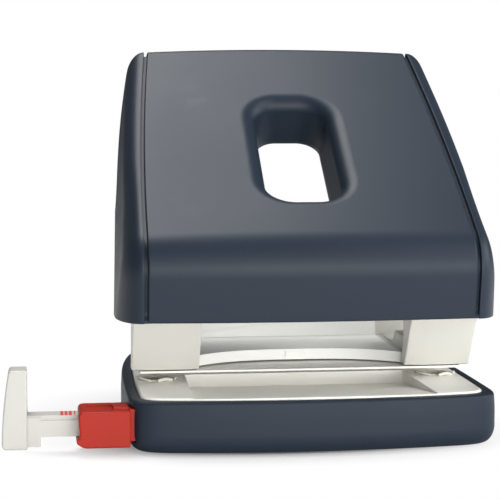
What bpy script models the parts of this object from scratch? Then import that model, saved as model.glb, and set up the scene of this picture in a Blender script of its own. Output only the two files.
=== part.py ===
import math

import bmesh
import bpy
from mathutils import Matrix, Vector

# Two hole punch, in metres. +Z is up, the paper goes in from -Y, and the origin
# lies on the table under the middle of the base.

# Sizes that every piece shares
HOLE_SPACING = 0.080
PAPER_MARGIN = 0.012
PUNCH_LINE_Y = -0.012
PAPER_STOP_Y = PUNCH_LINE_Y + PAPER_MARGIN
SEAT_GAP = 0.0003
RUN_GAP = 0.0003
CUT_OVERRUN = 0.002
MERGE_DISTANCE = 0.00001
ROUND_SIDES = 24

# Chip tray, the dark tub that stands on the table
TRAY_HALF_WIDTH = 0.0499
TRAY_FRONT_Y = -0.0510
TRAY_REAR_Y = 0.0515
TRAY_WIDEST_Y = -0.0220
TRAY_SIDE_DRAW = 0.0073
TRAY_SIDE_POWER = 3
TRAY_FRONT_BOW = 0.0040
TRAY_REAR_BOW = 0.0020
TRAY_FRONT_RADIUS = 0.0075
TRAY_REAR_RADIUS = 0.0135
TRAY_FLANK_Z = 0.0092
TRAY_FLANK_DRAW = 0.0006
TRAY_RIM_ROUND = 0.0009
TRAY_BOTTOM_Z = 0.0004
TRAY_TOP_Z = 0.0143
TRAY_ROLL_HEIGHT = 0.0050
TRAY_ROLL_INSET = 0.0030
TRAY_WALL = 0.0024
TRAY_FLOOR = 0.0022
TRAY_FLOOR_ROUND = 0.0016
TRAY_LEDGE = 0.0018
TRAY_LEDGE_SLOPE = 0.0016
TRAY_LEAST_RADIUS = 0.0012

# Grip mat under the tray
MAT_THICKNESS = 0.0012
MAT_INSET = 0.0090
MAT_SUNK = 0.0011

# Base plate that closes the tray and carries the dies
PLATE_TOP_Z = 0.0147
PLATE_THICKNESS = 0.0016
PLATE_INSET = 0.0034
PLATE_REAR_Y = 0.0469
PLATE_EDGE_ROUND = 0.0004
RECESS_HALF_WIDTH = 0.0318
RECESS_BACK_Y = -0.0065
RECESS_FRONT_Y = -0.0472
RECESS_DEPTH = 0.0037
RECESS_SIDE_SPREAD = 0.0010
PAN_FRONT_Y = -0.0440
TONGUE_LENGTH = 0.0080
TONGUE_DROP = 0.0030
TONGUE_THICKNESS = 0.0012
TONGUE_Y = -0.0200

# Dies in the base plate
DIE_RADIUS = 0.0049
DIE_LENGTH = 0.0036
DIE_PROUD = 0.0002
DIE_CHAMFER = 0.0004

# Tray hinge at the rear
HINGE_Y = 0.0470
HINGE_Z = 0.0136
HINGE_KNUCKLE_RADIUS = 0.0022
HINGE_PIN_RADIUS = 0.0010
HINGE_CENTRE_X = 0.0240
HINGE_PLATE_KNUCKLE = 0.0080
HINGE_TRAY_KNUCKLE = 0.0038

# Slot for the paper, the plates round it and their screws
SLOT_HEIGHT = 0.0028
STRIPPER_THICKNESS = 0.0006
STRIPPER_HALF_WIDTH = 0.0453
STRIPPER_FRONT_Y = -0.0205
STOP_HALF_WIDTH = 0.0448
FRAME_REAR_Y = 0.0240
SCREW_X = 0.0380
SCREW_FRONT_Y = 0.0060
SCREW_REAR_Y = 0.0190
SCREW_SHANK_RADIUS = 0.0014
SCREW_HEAD_RADIUS = 0.0027
SCREW_HEAD_HEIGHT = 0.0014
SCREW_BITE = 0.0016
SCREW_ROOF = 0.0008

# Punch frame with its two cheeks
CHEEK_INNER_X = 0.0290
CHEEK_OUTER_X = 0.0478
CHEEK_FRONT_Y = -0.0207
CHEEK_REAR_FOOT_Y = -0.0165
CHEEK_HEAD_RADIUS = 0.0080
CHEEK_ROUND = 0.0016
BOSS_OUTER_X = 0.0446
BOSS_ROUND = 0.0008
BOSS_TOP_Z = 0.0257
BOSS_REAR_Y = 0.0000
SHELF_THICKNESS = 0.0032
SHELF_SET_BACK = 0.0004
SHELF_LIFT = 0.0001
CHEEK_FOOT_HEIGHT = 0.0037
SHELF_ARCH_DEPTH = 0.0124
SHELF_ARCH_POWER = 3
REAR_WALL_TOP_Z = 0.0304
REAR_WALL_THICKNESS = 0.0022
REAR_WALL_LEAN = 0.0030
CENTRE_MARK_WIDTH = 0.0054
CENTRE_MARK_DEPTH = 0.0006

# Lever axle
AXLE_Y = -0.0270
AXLE_Z = 0.0434
AXLE_RADIUS = 0.0025
AXLE_HALF_LENGTH = 0.0474
CLIP_RADIUS = 0.0048
CLIP_THICKNESS = 0.0008

# Punch pins and their springs
PIN_RADIUS = 0.00275
PIN_TIP_Z = 0.0182
PIN_TIP_NOTCH = 0.0012
PIN_HEAD_RADIUS = 0.0048
PIN_HEAD_HEIGHT = 0.0014
PIN_CHAMFER = 0.0003
SPRING_WIRE_RADIUS = 0.0004
SPRING_CURLS = 6
SPRING_POINTS_PER_CURL = 10
SPRING_RADIUS = 0.0040
SPRING_END_PITCH = 0.0014

# Lever bracket and press bar inside the hood
BAR_RADIUS = 0.0030
BAR_HALF_LENGTH = 0.0450
BRACKET_PLATE = 0.0020
BRACKET_EAR_RADIUS = 0.0062
BRACKET_BAR_EYE_RADIUS = 0.0052
BRACKET_SIDE_GAP = 0.0006
FLANGE_THICKNESS = 0.0016
FLANGE_WIDTH = 0.0090
FLANGE_LENGTH = 0.0200
FLANGE_START_ALONG = 0.0440
WEB_THICKNESS = 0.0016
WEB_Z = 0.0504
WEB_FRONT_Y = -0.0300
WEB_REAR_Y = -0.0140

# Hood: a sloping panel that bends down into a lip at the front
HOOD_WALL = 0.0022
PANEL_TOP_Y = 0.0280
PANEL_TOP_Z = 0.1054
PANEL_SLOPE_DEG = 36.24
HOOD_REAR_Y = 0.0352
HOOD_REAR_DROP_Z = 0.0984
HOOD_TOP_RADIUS = 0.0030
LIP_BOTTOM_Y = -0.0402
LIP_BOTTOM_Z = 0.0339
LIP_CORNER_Y = -0.0435
LIP_BEND_RADIUS = 0.0120
GROOVE_WIDTH = 0.0010
GROOVE_LIP_X = 0.0443
GROOVE_TOP_X = 0.0401
LAP_REACH = 0.0017
LAP_ROOT = 0.0016
LAP_DEPTH = 0.0013
LAP_GAP = 0.0003
LAP_OVERRUN = 0.0009
HOOD_CROWN = 0.0010
GROOVE_BOW_START_Z = 0.0514
FLANK_LIP_X = 0.0524
FLANK_LEAN_SHARE = 0.10
FLANK_BULGE = 0.0008
FLANK_BULGE_Z = 0.0850
FLANK_BULGE_REACH = 0.0260
CAP_CORNER_LIP = 0.0160
CAP_CORNER_TOP = 0.0060
CAP_CORNER_TURN_Z = 0.0764
FLANK_FRONT_Y = -0.0180
FLANK_FRONT_Z = 0.0339
FLANK_REAR_Y = 0.0310
FLANK_REAR_Z = 0.0594

# Grip hole through the panel, measured along the slope from the panel's top point
GRIP_CENTRE_ALONG = 0.0447
GRIP_HALF_LENGTH = 0.0217
GRIP_HALF_WIDTH = 0.0106
GRIP_CORNER_RADIUS = 0.0076
GRIP_DEPTH = 0.0140
GRIP_ROUND = 0.0046
GRIP_TAPER = 0.0011
GRIP_COLLAR_WALL = 0.0022
GRIP_CENTRE_X = 0.0005

# Hood bosses and screws
BOSS_RADIUS = 0.0032
BOSS_HEIGHT = 0.0040
COVER_SCREW_X = 0.0224
COVER_SCREW_ALONG = 0.0540
COVER_SCREW_RADIUS = 0.0013
COVER_SCREW_HEAD_RADIUS = 0.0027
COVER_SCREW_HEAD = 0.0015
COVER_SCREW_BITE = 0.0030
COVER_SCREW_ROOF = 0.0006

# Paper guide and its sleeve
GUIDE_STOP_X = -0.0761
GUIDE_INNER_X = 0.0330
GUIDE_FRONT_Y = -0.0429
GUIDE_DEPTH = 0.0063
GUIDE_BOTTOM_Z = 0.0050
GUIDE_TOP_Z = 0.0106
GUIDE_STEP_Z = 0.0093
GUIDE_STEP = 0.0005
GUIDE_CATCH_LENGTH = 0.0045
GUIDE_CATCH_DEPTH = 0.0020
HEAD_TOP_Z = 0.0235
HEAD_BOTTOM_Z = 0.0022
HEAD_TOP_WIDTH = 0.0047
HEAD_BOTTOM_WIDTH = 0.0069
HEAD_DEPTH = 0.0080
HEAD_CORNER = 0.0016
HEAD_ROUND = 0.0006
FOOT_LENGTH = 0.0034
FOOT_BOTTOM_Z = 0.0024
NOTCH_COUNT = 5
NOTCH_WIDTH = 0.0012
NOTCH_DEPTH = 0.0006
NOTCH_PITCH = 0.0130
NOTCH_FIRST_OFFSET = 0.0140
SLEEVE_LEFT_X = -0.0630
SLEEVE_RIGHT_X = -0.0499
SLEEVE_FRONT_Y = -0.0470
SLEEVE_DEPTH = 0.0140
SLEEVE_BOTTOM_Z = 0.0030
SLEEVE_TOP_Z = 0.0120
SLEEVE_ROUND = 0.0010
SLEEVE_NECK_WALL = 0.0012
SLEEVE_NECK_REACH = 0.0050
WINDOW_LEFT_X = -0.0612
WINDOW_RIGHT_X = -0.0545
WINDOW_FRONT_Y = -0.0440
WINDOW_REAR_Y = -0.0365
WINDOW_DEPTH = 0.0004
TONGUE_PAD_HEIGHT = 0.0006
TONGUE_PAD_LENGTH = 0.0034
TONGUE_PAD_ROUND = 0.0002

OBJECT_COLLECTION = "two_hole_punch"
CUTTER_COLLECTION = "cutters"


def clear_scene():
    for old in list(bpy.data.objects):
        bpy.data.objects.remove(old, do_unlink=True)


def make_collection(name):
    collection = bpy.data.collections.new(name)
    bpy.context.scene.collection.children.link(collection)
    return collection


def make_material(name, color, roughness, metallic=0.0):
    material = bpy.data.materials.new(name)
    material.use_nodes = True
    shader = material.node_tree.nodes["Principled BSDF"]
    shader.inputs["Base Color"].default_value = (*color, 1.0)
    shader.inputs["Roughness"].default_value = roughness
    shader.inputs["Metallic"].default_value = metallic
    return material


def add_object(name, mesh, collection, material=None):
    made = bpy.data.objects.new(name, mesh)
    collection.objects.link(made)
    if material is not None:
        mesh.materials.append(material)
    if collection.name == CUTTER_COLLECTION:
        made.hide_render = True
        made.display_type = "WIRE"
    return made


def mesh_from(bm, name, smooth=False):
    mesh = bpy.data.meshes.new(name)
    bm.to_mesh(mesh)
    bm.free()
    if smooth:
        mesh.shade_smooth()
        mesh.set_sharp_from_angle(angle=math.radians(35))
    return mesh


def box(name, low, high, collection, material=None, rounding=0.0, segments=2):
    bm = bmesh.new()
    bmesh.ops.create_cube(bm, size=1.0)
    size = [b - a for a, b in zip(low, high)]
    middle = [0.5 * (a + b) for a, b in zip(low, high)]
    bmesh.ops.scale(bm, vec=size, verts=bm.verts)
    bmesh.ops.translate(bm, vec=middle, verts=bm.verts)
    made = add_object(name, mesh_from(bm, name), collection, material)
    if rounding > 0.0:
        round_edges(made, rounding, segments)
    return made


def round_edges(made, width, segments=2, angle_deg=40.0):
    bevel = made.modifiers.new("rounded_edges", "BEVEL")
    bevel.width = width
    bevel.segments = segments
    bevel.limit_method = "ANGLE"
    bevel.angle_limit = math.radians(angle_deg)
    return bevel


def rod_x(name, radius, x_low, x_high, y, z, collection, material=None, sides=ROUND_SIDES):
    bm = bmesh.new()
    bmesh.ops.create_cone(bm, cap_ends=True, segments=sides, radius1=radius,
                          radius2=radius, depth=x_high - x_low)
    turn = Matrix.Rotation(math.radians(90), 4, "Y")
    shift = Matrix.Translation((0.5 * (x_low + x_high), y, z))
    bmesh.ops.transform(bm, matrix=shift @ turn, verts=bm.verts)
    return add_object(name, mesh_from(bm, name, smooth=True), collection, material)


def rod_z(name, radius, z_low, z_high, x, y, collection, material=None, sides=ROUND_SIDES):
    bm = bmesh.new()
    bmesh.ops.create_cone(bm, cap_ends=True, segments=sides, radius1=radius,
                          radius2=radius, depth=z_high - z_low)
    bmesh.ops.translate(bm, vec=(x, y, 0.5 * (z_low + z_high)), verts=bm.verts)
    return add_object(name, mesh_from(bm, name, smooth=True), collection, material)


def turned(name, profile, place, collection, material=None, steps=ROUND_SIDES, loop=False):
    """Spin a profile of (radius, height) points about Z."""
    mesh = bpy.data.meshes.new(name)
    points = [(radius, 0.0, height) for radius, height in profile]
    edges = [(i, i + 1) for i in range(len(points) - 1)]
    if loop:
        edges.append((len(points) - 1, 0))
    mesh.from_pydata(points, edges, [])
    made = add_object(name, mesh, collection, material)
    made.location = place
    screw = made.modifiers.new("turned", "SCREW")
    screw.axis = "Z"
    screw.angle = math.radians(360)
    screw.steps = steps
    screw.render_steps = steps
    screw.use_merge_vertices = True
    screw.merge_threshold = MERGE_DISTANCE
    screw.use_smooth_shade = True
    return made


def curve_to_mesh(curve_object, name, collection, material=None, smooth=True):
    depsgraph = bpy.context.evaluated_depsgraph_get()
    depsgraph.update()
    mesh = bpy.data.meshes.new_from_object(curve_object.evaluated_get(depsgraph))
    mesh.materials.clear()
    mesh.name = name
    bm = bmesh.new()
    bm.from_mesh(mesh)
    bmesh.ops.remove_doubles(bm, verts=bm.verts, dist=MERGE_DISTANCE)
    bmesh.ops.recalc_face_normals(bm, faces=bm.faces)
    bm.to_mesh(mesh)
    bm.free()
    if smooth:
        mesh.shade_smooth()
        mesh.set_sharp_from_angle(angle=math.radians(35))
    made = add_object(name, mesh, collection, material)
    made.matrix_world = curve_object.matrix_world.copy()
    curve = curve_object.data
    bpy.data.objects.remove(curve_object, do_unlink=True)
    bpy.data.curves.remove(curve)
    return made


def outline_solid(name, outline, low, high, axis, collection, material=None, smooth=True):
    """Extrude a flat outline: (y, z) points along X, (x, z) along Y, (x, y) along Z."""
    curve = bpy.data.curves.new(name + "_outline", "CURVE")
    curve.dimensions = "2D"
    curve.fill_mode = "BOTH"
    curve.extrude = 0.5 * (high - low)
    spline = curve.splines.new("POLY")
    spline.points.add(len(outline) - 1)
    for point, place in zip(spline.points, outline):
        point.co = (place[0], place[1], 0.0, 1.0)
    spline.use_cyclic_u = True
    holder = bpy.data.objects.new(name + "_outline", curve)
    collection.objects.link(holder)
    middle = 0.5 * (low + high)
    made = curve_to_mesh(holder, name, collection, material, smooth)
    if axis == "X":
        turn = Matrix(((0, 0, 1, middle), (1, 0, 0, 0), (0, 1, 0, 0), (0, 0, 0, 1)))
    elif axis == "Y":
        turn = Matrix(((1, 0, 0, 0), (0, 0, -1, middle), (0, 1, 0, 0), (0, 0, 0, 1)))
    else:
        turn = Matrix.Translation((0.0, 0.0, middle))
    made.data.transform(turn)
    return made


def loft(name, rings, collection, material=None, smooth=True):
    """Skin a stack of rings that have the same number of points, and cap both ends."""
    bm = bmesh.new()
    rows = [[bm.verts.new(point) for point in ring] for ring in rings]
    count = len(rings[0])
    for lower, upper in zip(rows, rows[1:]):
        for i in range(count):
            j = (i + 1) % count
            bm.faces.new((lower[i], lower[j], upper[j], upper[i]))
    bm.faces.new(list(reversed(rows[0])))
    bm.faces.new(rows[-1])
    bmesh.ops.recalc_face_normals(bm, faces=bm.faces)
    return add_object(name, mesh_from(bm, name, smooth), collection, material)


def sheet(name, grid, collection, material=None):
    """An open surface from rows of points."""
    bm = bmesh.new()
    rows = [[bm.verts.new(point) for point in row] for row in grid]
    for first, second in zip(rows, rows[1:]):
        for i in range(len(first) - 1):
            bm.faces.new((second[i], second[i + 1], first[i + 1], first[i]))
    return add_object(name, mesh_from(bm, name, smooth=True), collection, material)


def cut(made, cutter):
    step = made.modifiers.new("cut_" + cutter.name, "BOOLEAN")
    step.operation = "DIFFERENCE"
    step.solver = "EXACT"
    step.object = cutter
    return made


def join(made, other):
    step = made.modifiers.new("join_" + other.name, "BOOLEAN")
    step.operation = "UNION"
    step.solver = "EXACT"
    step.object = other
    return made


def arc(centre, radius, start_deg, end_deg, steps):
    """Points of an arc, both ends included."""
    points = []
    for i in range(steps + 1):
        angle = math.radians(start_deg + (end_deg - start_deg) * i / steps)
        points.append((centre[0] + radius * math.cos(angle), centre[1] + radius * math.sin(angle)))
    return points


def fillet(before, corner, after, radius, steps):
    """Arc that rounds one corner of an outline."""
    corner = Vector(corner)
    to_before = (Vector(before) - corner).normalized()
    to_after = (Vector(after) - corner).normalized()
    half = 0.5 * math.acos(max(-1.0, min(1.0, to_before.dot(to_after))))
    reach = radius / math.tan(half)
    centre = corner + (to_before + to_after).normalized() * (radius / math.sin(half))
    start = corner + to_before * reach - centre
    end = corner + to_after * reach - centre
    sweep = start.angle_signed(end)
    first = math.atan2(start.y, start.x)
    points = []
    for i in range(steps + 1):
        angle = first - sweep * i / steps
        points.append((centre.x + radius * math.cos(angle), centre.y + radius * math.sin(angle)))
    return points


def rounded_box_outline(half_width, half_length, radius, steps):
    """Anticlockwise outline of a rectangle with round corners about the middle."""
    corners = [(half_width - radius, half_length - radius, 0),
               (radius - half_width, half_length - radius, 90),
               (radius - half_width, radius - half_length, 180),
               (half_width - radius, radius - half_length, 270)]
    points = []
    for x, y, angle in corners:
        points += arc((x, y), radius, angle, angle + 90, steps)
    return points


def tray_half_width(y, inset):
    """The sides are widest a little ahead of the middle and draw in towards the rear."""
    share = (y - TRAY_WIDEST_Y) / (TRAY_REAR_Y - TRAY_WIDEST_Y)
    return TRAY_HALF_WIDTH - inset - TRAY_SIDE_DRAW * abs(share) ** TRAY_SIDE_POWER


def tray_outline(inset, rear_y=None):
    """Outline of the base in plan, drawn in by an inset. Front and rear edges are bowed."""
    front = TRAY_FRONT_Y + inset
    rear = TRAY_REAR_Y - inset if rear_y is None else rear_y
    front_x = tray_half_width(front + TRAY_FRONT_BOW, inset)
    rear_x = tray_half_width(rear - TRAY_REAR_BOW, inset)
    edge_shares = (-0.6, -0.3, 0.0, 0.3, 0.6)
    side_shares = (0.2, 0.4, 0.6, 0.8)
    front_edge = [(front_x * s, front + TRAY_FRONT_BOW * s * s) for s in edge_shares]
    rear_edge = [(-rear_x * s, rear - TRAY_REAR_BOW * s * s) for s in edge_shares]
    low = front + TRAY_FRONT_BOW
    high = rear - TRAY_REAR_BOW
    right = [(tray_half_width(low + (high - low) * s, inset), low + (high - low) * s)
             for s in side_shares]
    left = [(-x, y) for x, y in reversed(right)]
    front_radius = max(TRAY_FRONT_RADIUS - 0.5 * inset, TRAY_LEAST_RADIUS)
    rear_radius = max(TRAY_REAR_RADIUS - inset, TRAY_LEAST_RADIUS)
    points = list(front_edge)
    points += fillet(front_edge[-1], (front_x, low), right[0], front_radius, 6)
    points += right
    points += fillet(right[-1], (rear_x, high), rear_edge[0], rear_radius, 6)
    points += rear_edge
    points += fillet(rear_edge[-1], (-rear_x, high), left[0], rear_radius, 6)
    points += left
    points += fillet(left[-1], (-front_x, low), front_edge[0], front_radius, 6)
    return points


def at_height(outline, z):
    return [(x, y, z) for x, y in outline]


def tray_rings(grow=0.0):
    """Rings of the tub's outside: a rolled bottom edge, a flank that leans in and a round rim."""
    rings = []
    for angle in (90, 68, 45, 22, 0):
        lean = math.radians(angle)
        inset = TRAY_ROLL_INSET * (1.0 - math.cos(lean)) - grow
        z = TRAY_BOTTOM_Z + TRAY_ROLL_HEIGHT * (1.0 - math.sin(lean))
        rings.append(at_height(tray_outline(inset), z))
    rings.append(at_height(tray_outline(-grow), TRAY_FLANK_Z))
    for angle in (0, 30, 60, 90):
        lean = math.radians(angle)
        inset = TRAY_FLANK_DRAW + TRAY_RIM_ROUND * (1.0 - math.cos(lean)) - grow
        z = TRAY_TOP_Z - TRAY_RIM_ROUND * (1.0 - math.sin(lean))
        rings.append(at_height(tray_outline(inset), z))
    return rings


def build_tray(parts, cutters, paint):
    tray = loft("chip_tray", tray_rings(), parts, paint)
    floor_z = TRAY_BOTTOM_Z + TRAY_FLOOR
    ledge_z = PLATE_TOP_Z - PLATE_THICKNESS - SEAT_GAP
    ledge_inset = PLATE_INSET - SEAT_GAP + TRAY_LEDGE
    levels = [(floor_z, TRAY_WALL + TRAY_FLOOR_ROUND),
              (floor_z + TRAY_FLOOR_ROUND, TRAY_WALL),
              (ledge_z - 2.0 * TRAY_LEDGE_SLOPE, TRAY_WALL),
              (ledge_z - TRAY_LEDGE_SLOPE, ledge_inset),
              (ledge_z + CUT_OVERRUN, ledge_inset)]
    cavity = loft("tray_cavity", [at_height(tray_outline(i), z) for z, i in levels], cutters)
    cut(tray, cavity)
    seat_inset = PLATE_INSET - SEAT_GAP
    seat_rear = HINGE_Y + SEAT_GAP + 0.5 * HINGE_KNUCKLE_RADIUS
    seat = [at_height(tray_outline(seat_inset, seat_rear), z)
            for z in (ledge_z, TRAY_TOP_Z + CUT_OVERRUN)]
    cut(tray, loft("tray_plate_seat", seat, cutters))
    cut_tray_hinge(tray, cutters)
    cut_guide_pocket(tray, cutters)
    mat_roof = TRAY_BOTTOM_Z + MAT_SUNK
    pocket = [at_height(tray_outline(MAT_INSET - SEAT_GAP), z)
              for z in (TRAY_BOTTOM_Z - CUT_OVERRUN, mat_roof)]
    cut(tray, loft("tray_mat_pocket", pocket, cutters))
    return tray


def hinge_knuckle_spans(side):
    """X ranges of one hinge: the plate's knuckle and the tray's knuckle on either side."""
    half = 0.5 * HINGE_PLATE_KNUCKLE
    middle = side * HINGE_CENTRE_X
    plate_span = (middle - half, middle + half)
    near = middle - half - RUN_GAP
    far = middle + half + RUN_GAP
    tray_spans = ((near - HINGE_TRAY_KNUCKLE, near), (far, far + HINGE_TRAY_KNUCKLE))
    return plate_span, tray_spans


def cut_tray_hinge(tray, cutters):
    """Notches the rear wall for the plate's knuckles and gives the tray its own."""
    for side in (-1, 1):
        label = "left" if side < 0 else "right"
        plate_span, tray_spans = hinge_knuckle_spans(side)
        reach = HINGE_KNUCKLE_RADIUS + RUN_GAP
        low = (plate_span[0] - RUN_GAP, HINGE_Y - reach - RUN_GAP, HINGE_Z - reach)
        high = (plate_span[1] + RUN_GAP, TRAY_REAR_Y + CUT_OVERRUN, TRAY_TOP_Z + reach)
        for i, span in enumerate(tray_spans):
            knuckle = rod_x(f"tray_knuckle_{label}_{i}", HINGE_KNUCKLE_RADIUS, span[0], span[1],
                            HINGE_Y, HINGE_Z, cutters)
            join(tray, knuckle)
        cut(tray, box("tray_hinge_notch_" + label, low, high, cutters))
        bore = rod_x("tray_hinge_bore_" + label, HINGE_PIN_RADIUS + SEAT_GAP,
                     tray_spans[0][0] - CUT_OVERRUN, tray_spans[1][1] + CUT_OVERRUN,
                     HINGE_Y, HINGE_Z, cutters)
        cut(tray, bore)


def sleeve_neck_box(grow):
    """Low and high corners of the sleeve's neck, which passes through the tray's wall."""
    wall = SLEEVE_NECK_WALL + RUN_GAP + grow
    low = (SLEEVE_LEFT_X + SLEEVE_ROUND, GUIDE_FRONT_Y - wall, GUIDE_BOTTOM_Z - wall)
    high = (SLEEVE_RIGHT_X + SLEEVE_NECK_REACH, GUIDE_FRONT_Y + GUIDE_DEPTH + wall,
            GUIDE_TOP_Z + wall)
    return low, high


def cut_guide_pocket(tray, cutters):
    low, high = sleeve_neck_box(SEAT_GAP)
    reach = high[0] + CUT_OVERRUN
    cut(tray, box("tray_guide_pocket", low, (reach, high[1], high[2]), cutters))


def build_mat(parts, rubber):
    levels = (0.0, MAT_THICKNESS)
    return loft("grip_mat", [at_height(tray_outline(MAT_INSET), z) for z in levels], parts, rubber)


def build_base_plate(parts, cutters, paint):
    bottom = PLATE_TOP_Z - PLATE_THICKNESS
    shoulder = PLATE_TOP_Z - PLATE_EDGE_ROUND
    levels = [(bottom, PLATE_INSET), (shoulder, PLATE_INSET),
              (PLATE_TOP_Z, PLATE_INSET + PLATE_EDGE_ROUND)]
    rings = [at_height(tray_outline(inset, PLATE_REAR_Y), z) for z, inset in levels]
    plate = loft("base_plate", rings, parts, paint)
    pan_half = RECESS_HALF_WIDTH + RECESS_SIDE_SPREAD + PLATE_THICKNESS
    pan_low = PLATE_TOP_Z - RECESS_DEPTH - PLATE_THICKNESS
    pan_back = RECESS_BACK_Y + PLATE_THICKNESS
    inner = 0.5 * PLATE_THICKNESS
    pan = [(pan_back, bottom + inner), (PAN_FRONT_Y, bottom + inner),
           (PAN_FRONT_Y, bottom), (pan_back, pan_low)]
    join(plate, outline_solid("recess_pan", pan, -pan_half, pan_half, "X", cutters, smooth=False))
    cut(plate, recess_cutter(cutters))
    for side in (-1, 1):
        label = "left" if side < 0 else "right"
        plate_span, tray_spans = hinge_knuckle_spans(side)
        for i, span in enumerate(tray_spans):
            reach = HINGE_KNUCKLE_RADIUS + RUN_GAP
            low = (span[0] - RUN_GAP, HINGE_Y - reach - RUN_GAP, bottom - CUT_OVERRUN)
            high = (span[1] + RUN_GAP, PLATE_REAR_Y + CUT_OVERRUN, PLATE_TOP_Z + CUT_OVERRUN)
            cut(plate, box(f"plate_hinge_notch_{label}_{i}", low, high, cutters))
        join(plate, rod_x("plate_knuckle_" + label, HINGE_KNUCKLE_RADIUS, plate_span[0],
                          plate_span[1], HINGE_Y, HINGE_Z, cutters))
        cut(plate, rod_x("plate_hinge_bore_" + label, HINGE_PIN_RADIUS + RUN_GAP,
                         plate_span[0] - CUT_OVERRUN, plate_span[1] + CUT_OVERRUN,
                         HINGE_Y, HINGE_Z, cutters))
        cut(plate, rod_z("die_seat_" + label, DIE_RADIUS + SEAT_GAP, bottom - CUT_OVERRUN,
                         PLATE_TOP_Z + CUT_OVERRUN, side * 0.5 * HOLE_SPACING, PUNCH_LINE_Y,
                         cutters))
        join(plate, snap_tongue(side, label, bottom, cutters))
    for place, label in screw_places():
        cut(plate, rod_z("plate_screw_hole_" + label, SCREW_SHANK_RADIUS + RUN_GAP,
                         bottom - CUT_OVERRUN, PLATE_TOP_Z + CUT_OVERRUN, place[0], place[1],
                         cutters))
    return plate


def snap_tongue(side, label, bottom, cutters):
    """Tongue under the plate's edge that grips the tray's wall."""
    outer = tray_half_width(TONGUE_Y, PLATE_INSET) - TRAY_LEDGE
    inner = outer - TONGUE_THICKNESS
    low_x, high_x = sorted((side * inner, side * outer))
    low = (low_x, TONGUE_Y - 0.5 * TONGUE_LENGTH, bottom - TONGUE_DROP)
    high = (high_x, TONGUE_Y + 0.5 * TONGUE_LENGTH, bottom + 0.5 * PLATE_THICKNESS)
    return box("snap_tongue_" + label, low, high, cutters)


def recess_cutter(cutters):
    """The finger recess: deepest at the back, with a floor that rises to the front edge."""
    floor_z = PLATE_TOP_Z - RECESS_DEPTH
    over = PLATE_TOP_Z + CUT_OVERRUN
    top = over + CUT_OVERRUN
    reach_share = 1.0 + CUT_OVERRUN / RECESS_DEPTH
    far_y = RECESS_BACK_Y + (RECESS_FRONT_Y - RECESS_BACK_Y) * reach_share
    near = RECESS_HALF_WIDTH
    wide = RECESS_HALF_WIDTH + RECESS_SIDE_SPREAD * reach_share
    back = [(-near, RECESS_BACK_Y, floor_z), (near, RECESS_BACK_Y, floor_z),
            (near, RECESS_BACK_Y, top), (-near, RECESS_BACK_Y, top)]
    front = [(-wide, far_y, over), (wide, far_y, over), (wide, far_y, top), (-wide, far_y, top)]
    return loft("recess_cutter", [back, front], cutters, smooth=False)


def build_dies(parts, steel):
    dies = []
    bore = PIN_RADIUS + RUN_GAP
    top = PLATE_TOP_Z + DIE_PROUD
    low = top - DIE_LENGTH
    profile = [(bore, top - DIE_CHAMFER), (bore + DIE_CHAMFER, top), (DIE_RADIUS - DIE_CHAMFER, top),
               (DIE_RADIUS, top - DIE_CHAMFER), (DIE_RADIUS, low), (bore, low)]
    for side, label in ((-1, "left"), (1, "right")):
        place = (side * 0.5 * HOLE_SPACING, PUNCH_LINE_Y, 0.0)
        dies.append(turned("die_" + label, profile, place, parts, steel, loop=True))
    return dies


def build_hinge_pins(parts, steel):
    pins = []
    for side, label in ((-1, "left"), (1, "right")):
        spans = hinge_knuckle_spans(side)[1]
        pins.append(rod_x("tray_hinge_pin_" + label, HINGE_PIN_RADIUS, spans[0][0], spans[1][1],
                          HINGE_Y, HINGE_Z, parts, steel, sides=16))
    return pins


def screw_places():
    return [((-SCREW_X, SCREW_FRONT_Y), "front_left"), ((SCREW_X, SCREW_FRONT_Y), "front_right"),
            ((-SCREW_X, SCREW_REAR_Y), "rear_left"), ((SCREW_X, SCREW_REAR_Y), "rear_right")]


def stripper_low_z():
    return PLATE_TOP_Z + SLOT_HEIGHT


def frame_low_z():
    return stripper_low_z() + STRIPPER_THICKNESS + SEAT_GAP


def build_paper_stop(parts, cutters, paint):
    """Spacer behind the slot, against which the paper's edge comes to rest."""
    low = (-STOP_HALF_WIDTH, PAPER_STOP_Y, PLATE_TOP_Z + SEAT_GAP)
    high = (STOP_HALF_WIDTH, FRAME_REAR_Y, stripper_low_z() - SEAT_GAP)
    stop = box("paper_stop", low, high, parts, paint)
    bore_for_screws(stop, low[2], high[2], cutters)
    return stop


def bore_for_screws(made, low_z, high_z, cutters, overrun=CUT_OVERRUN):
    for place, label in screw_places():
        cut(made, rod_z(f"{made.name}_screw_hole_{label}", SCREW_SHANK_RADIUS + RUN_GAP,
                        low_z - CUT_OVERRUN, high_z + overrun, place[0], place[1], cutters))


def build_stripper(parts, cutters, steel):
    """Thin plate over the slot that strips the paper off the rising pins."""
    low = (-STRIPPER_HALF_WIDTH, STRIPPER_FRONT_Y, stripper_low_z())
    high = (STRIPPER_HALF_WIDTH, FRAME_REAR_Y, stripper_low_z() + STRIPPER_THICKNESS)
    stripper = box("stripper_plate", low, high, parts, steel)
    for side, label in ((-1, "left"), (1, "right")):
        cut(stripper, rod_z("stripper_pin_hole_" + label, PIN_RADIUS + RUN_GAP,
                            low[2] - CUT_OVERRUN, high[2] + CUT_OVERRUN,
                            side * 0.5 * HOLE_SPACING, PUNCH_LINE_Y, cutters))
    bore_for_screws(stripper, low[2], high[2], cutters)
    return stripper


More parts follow.
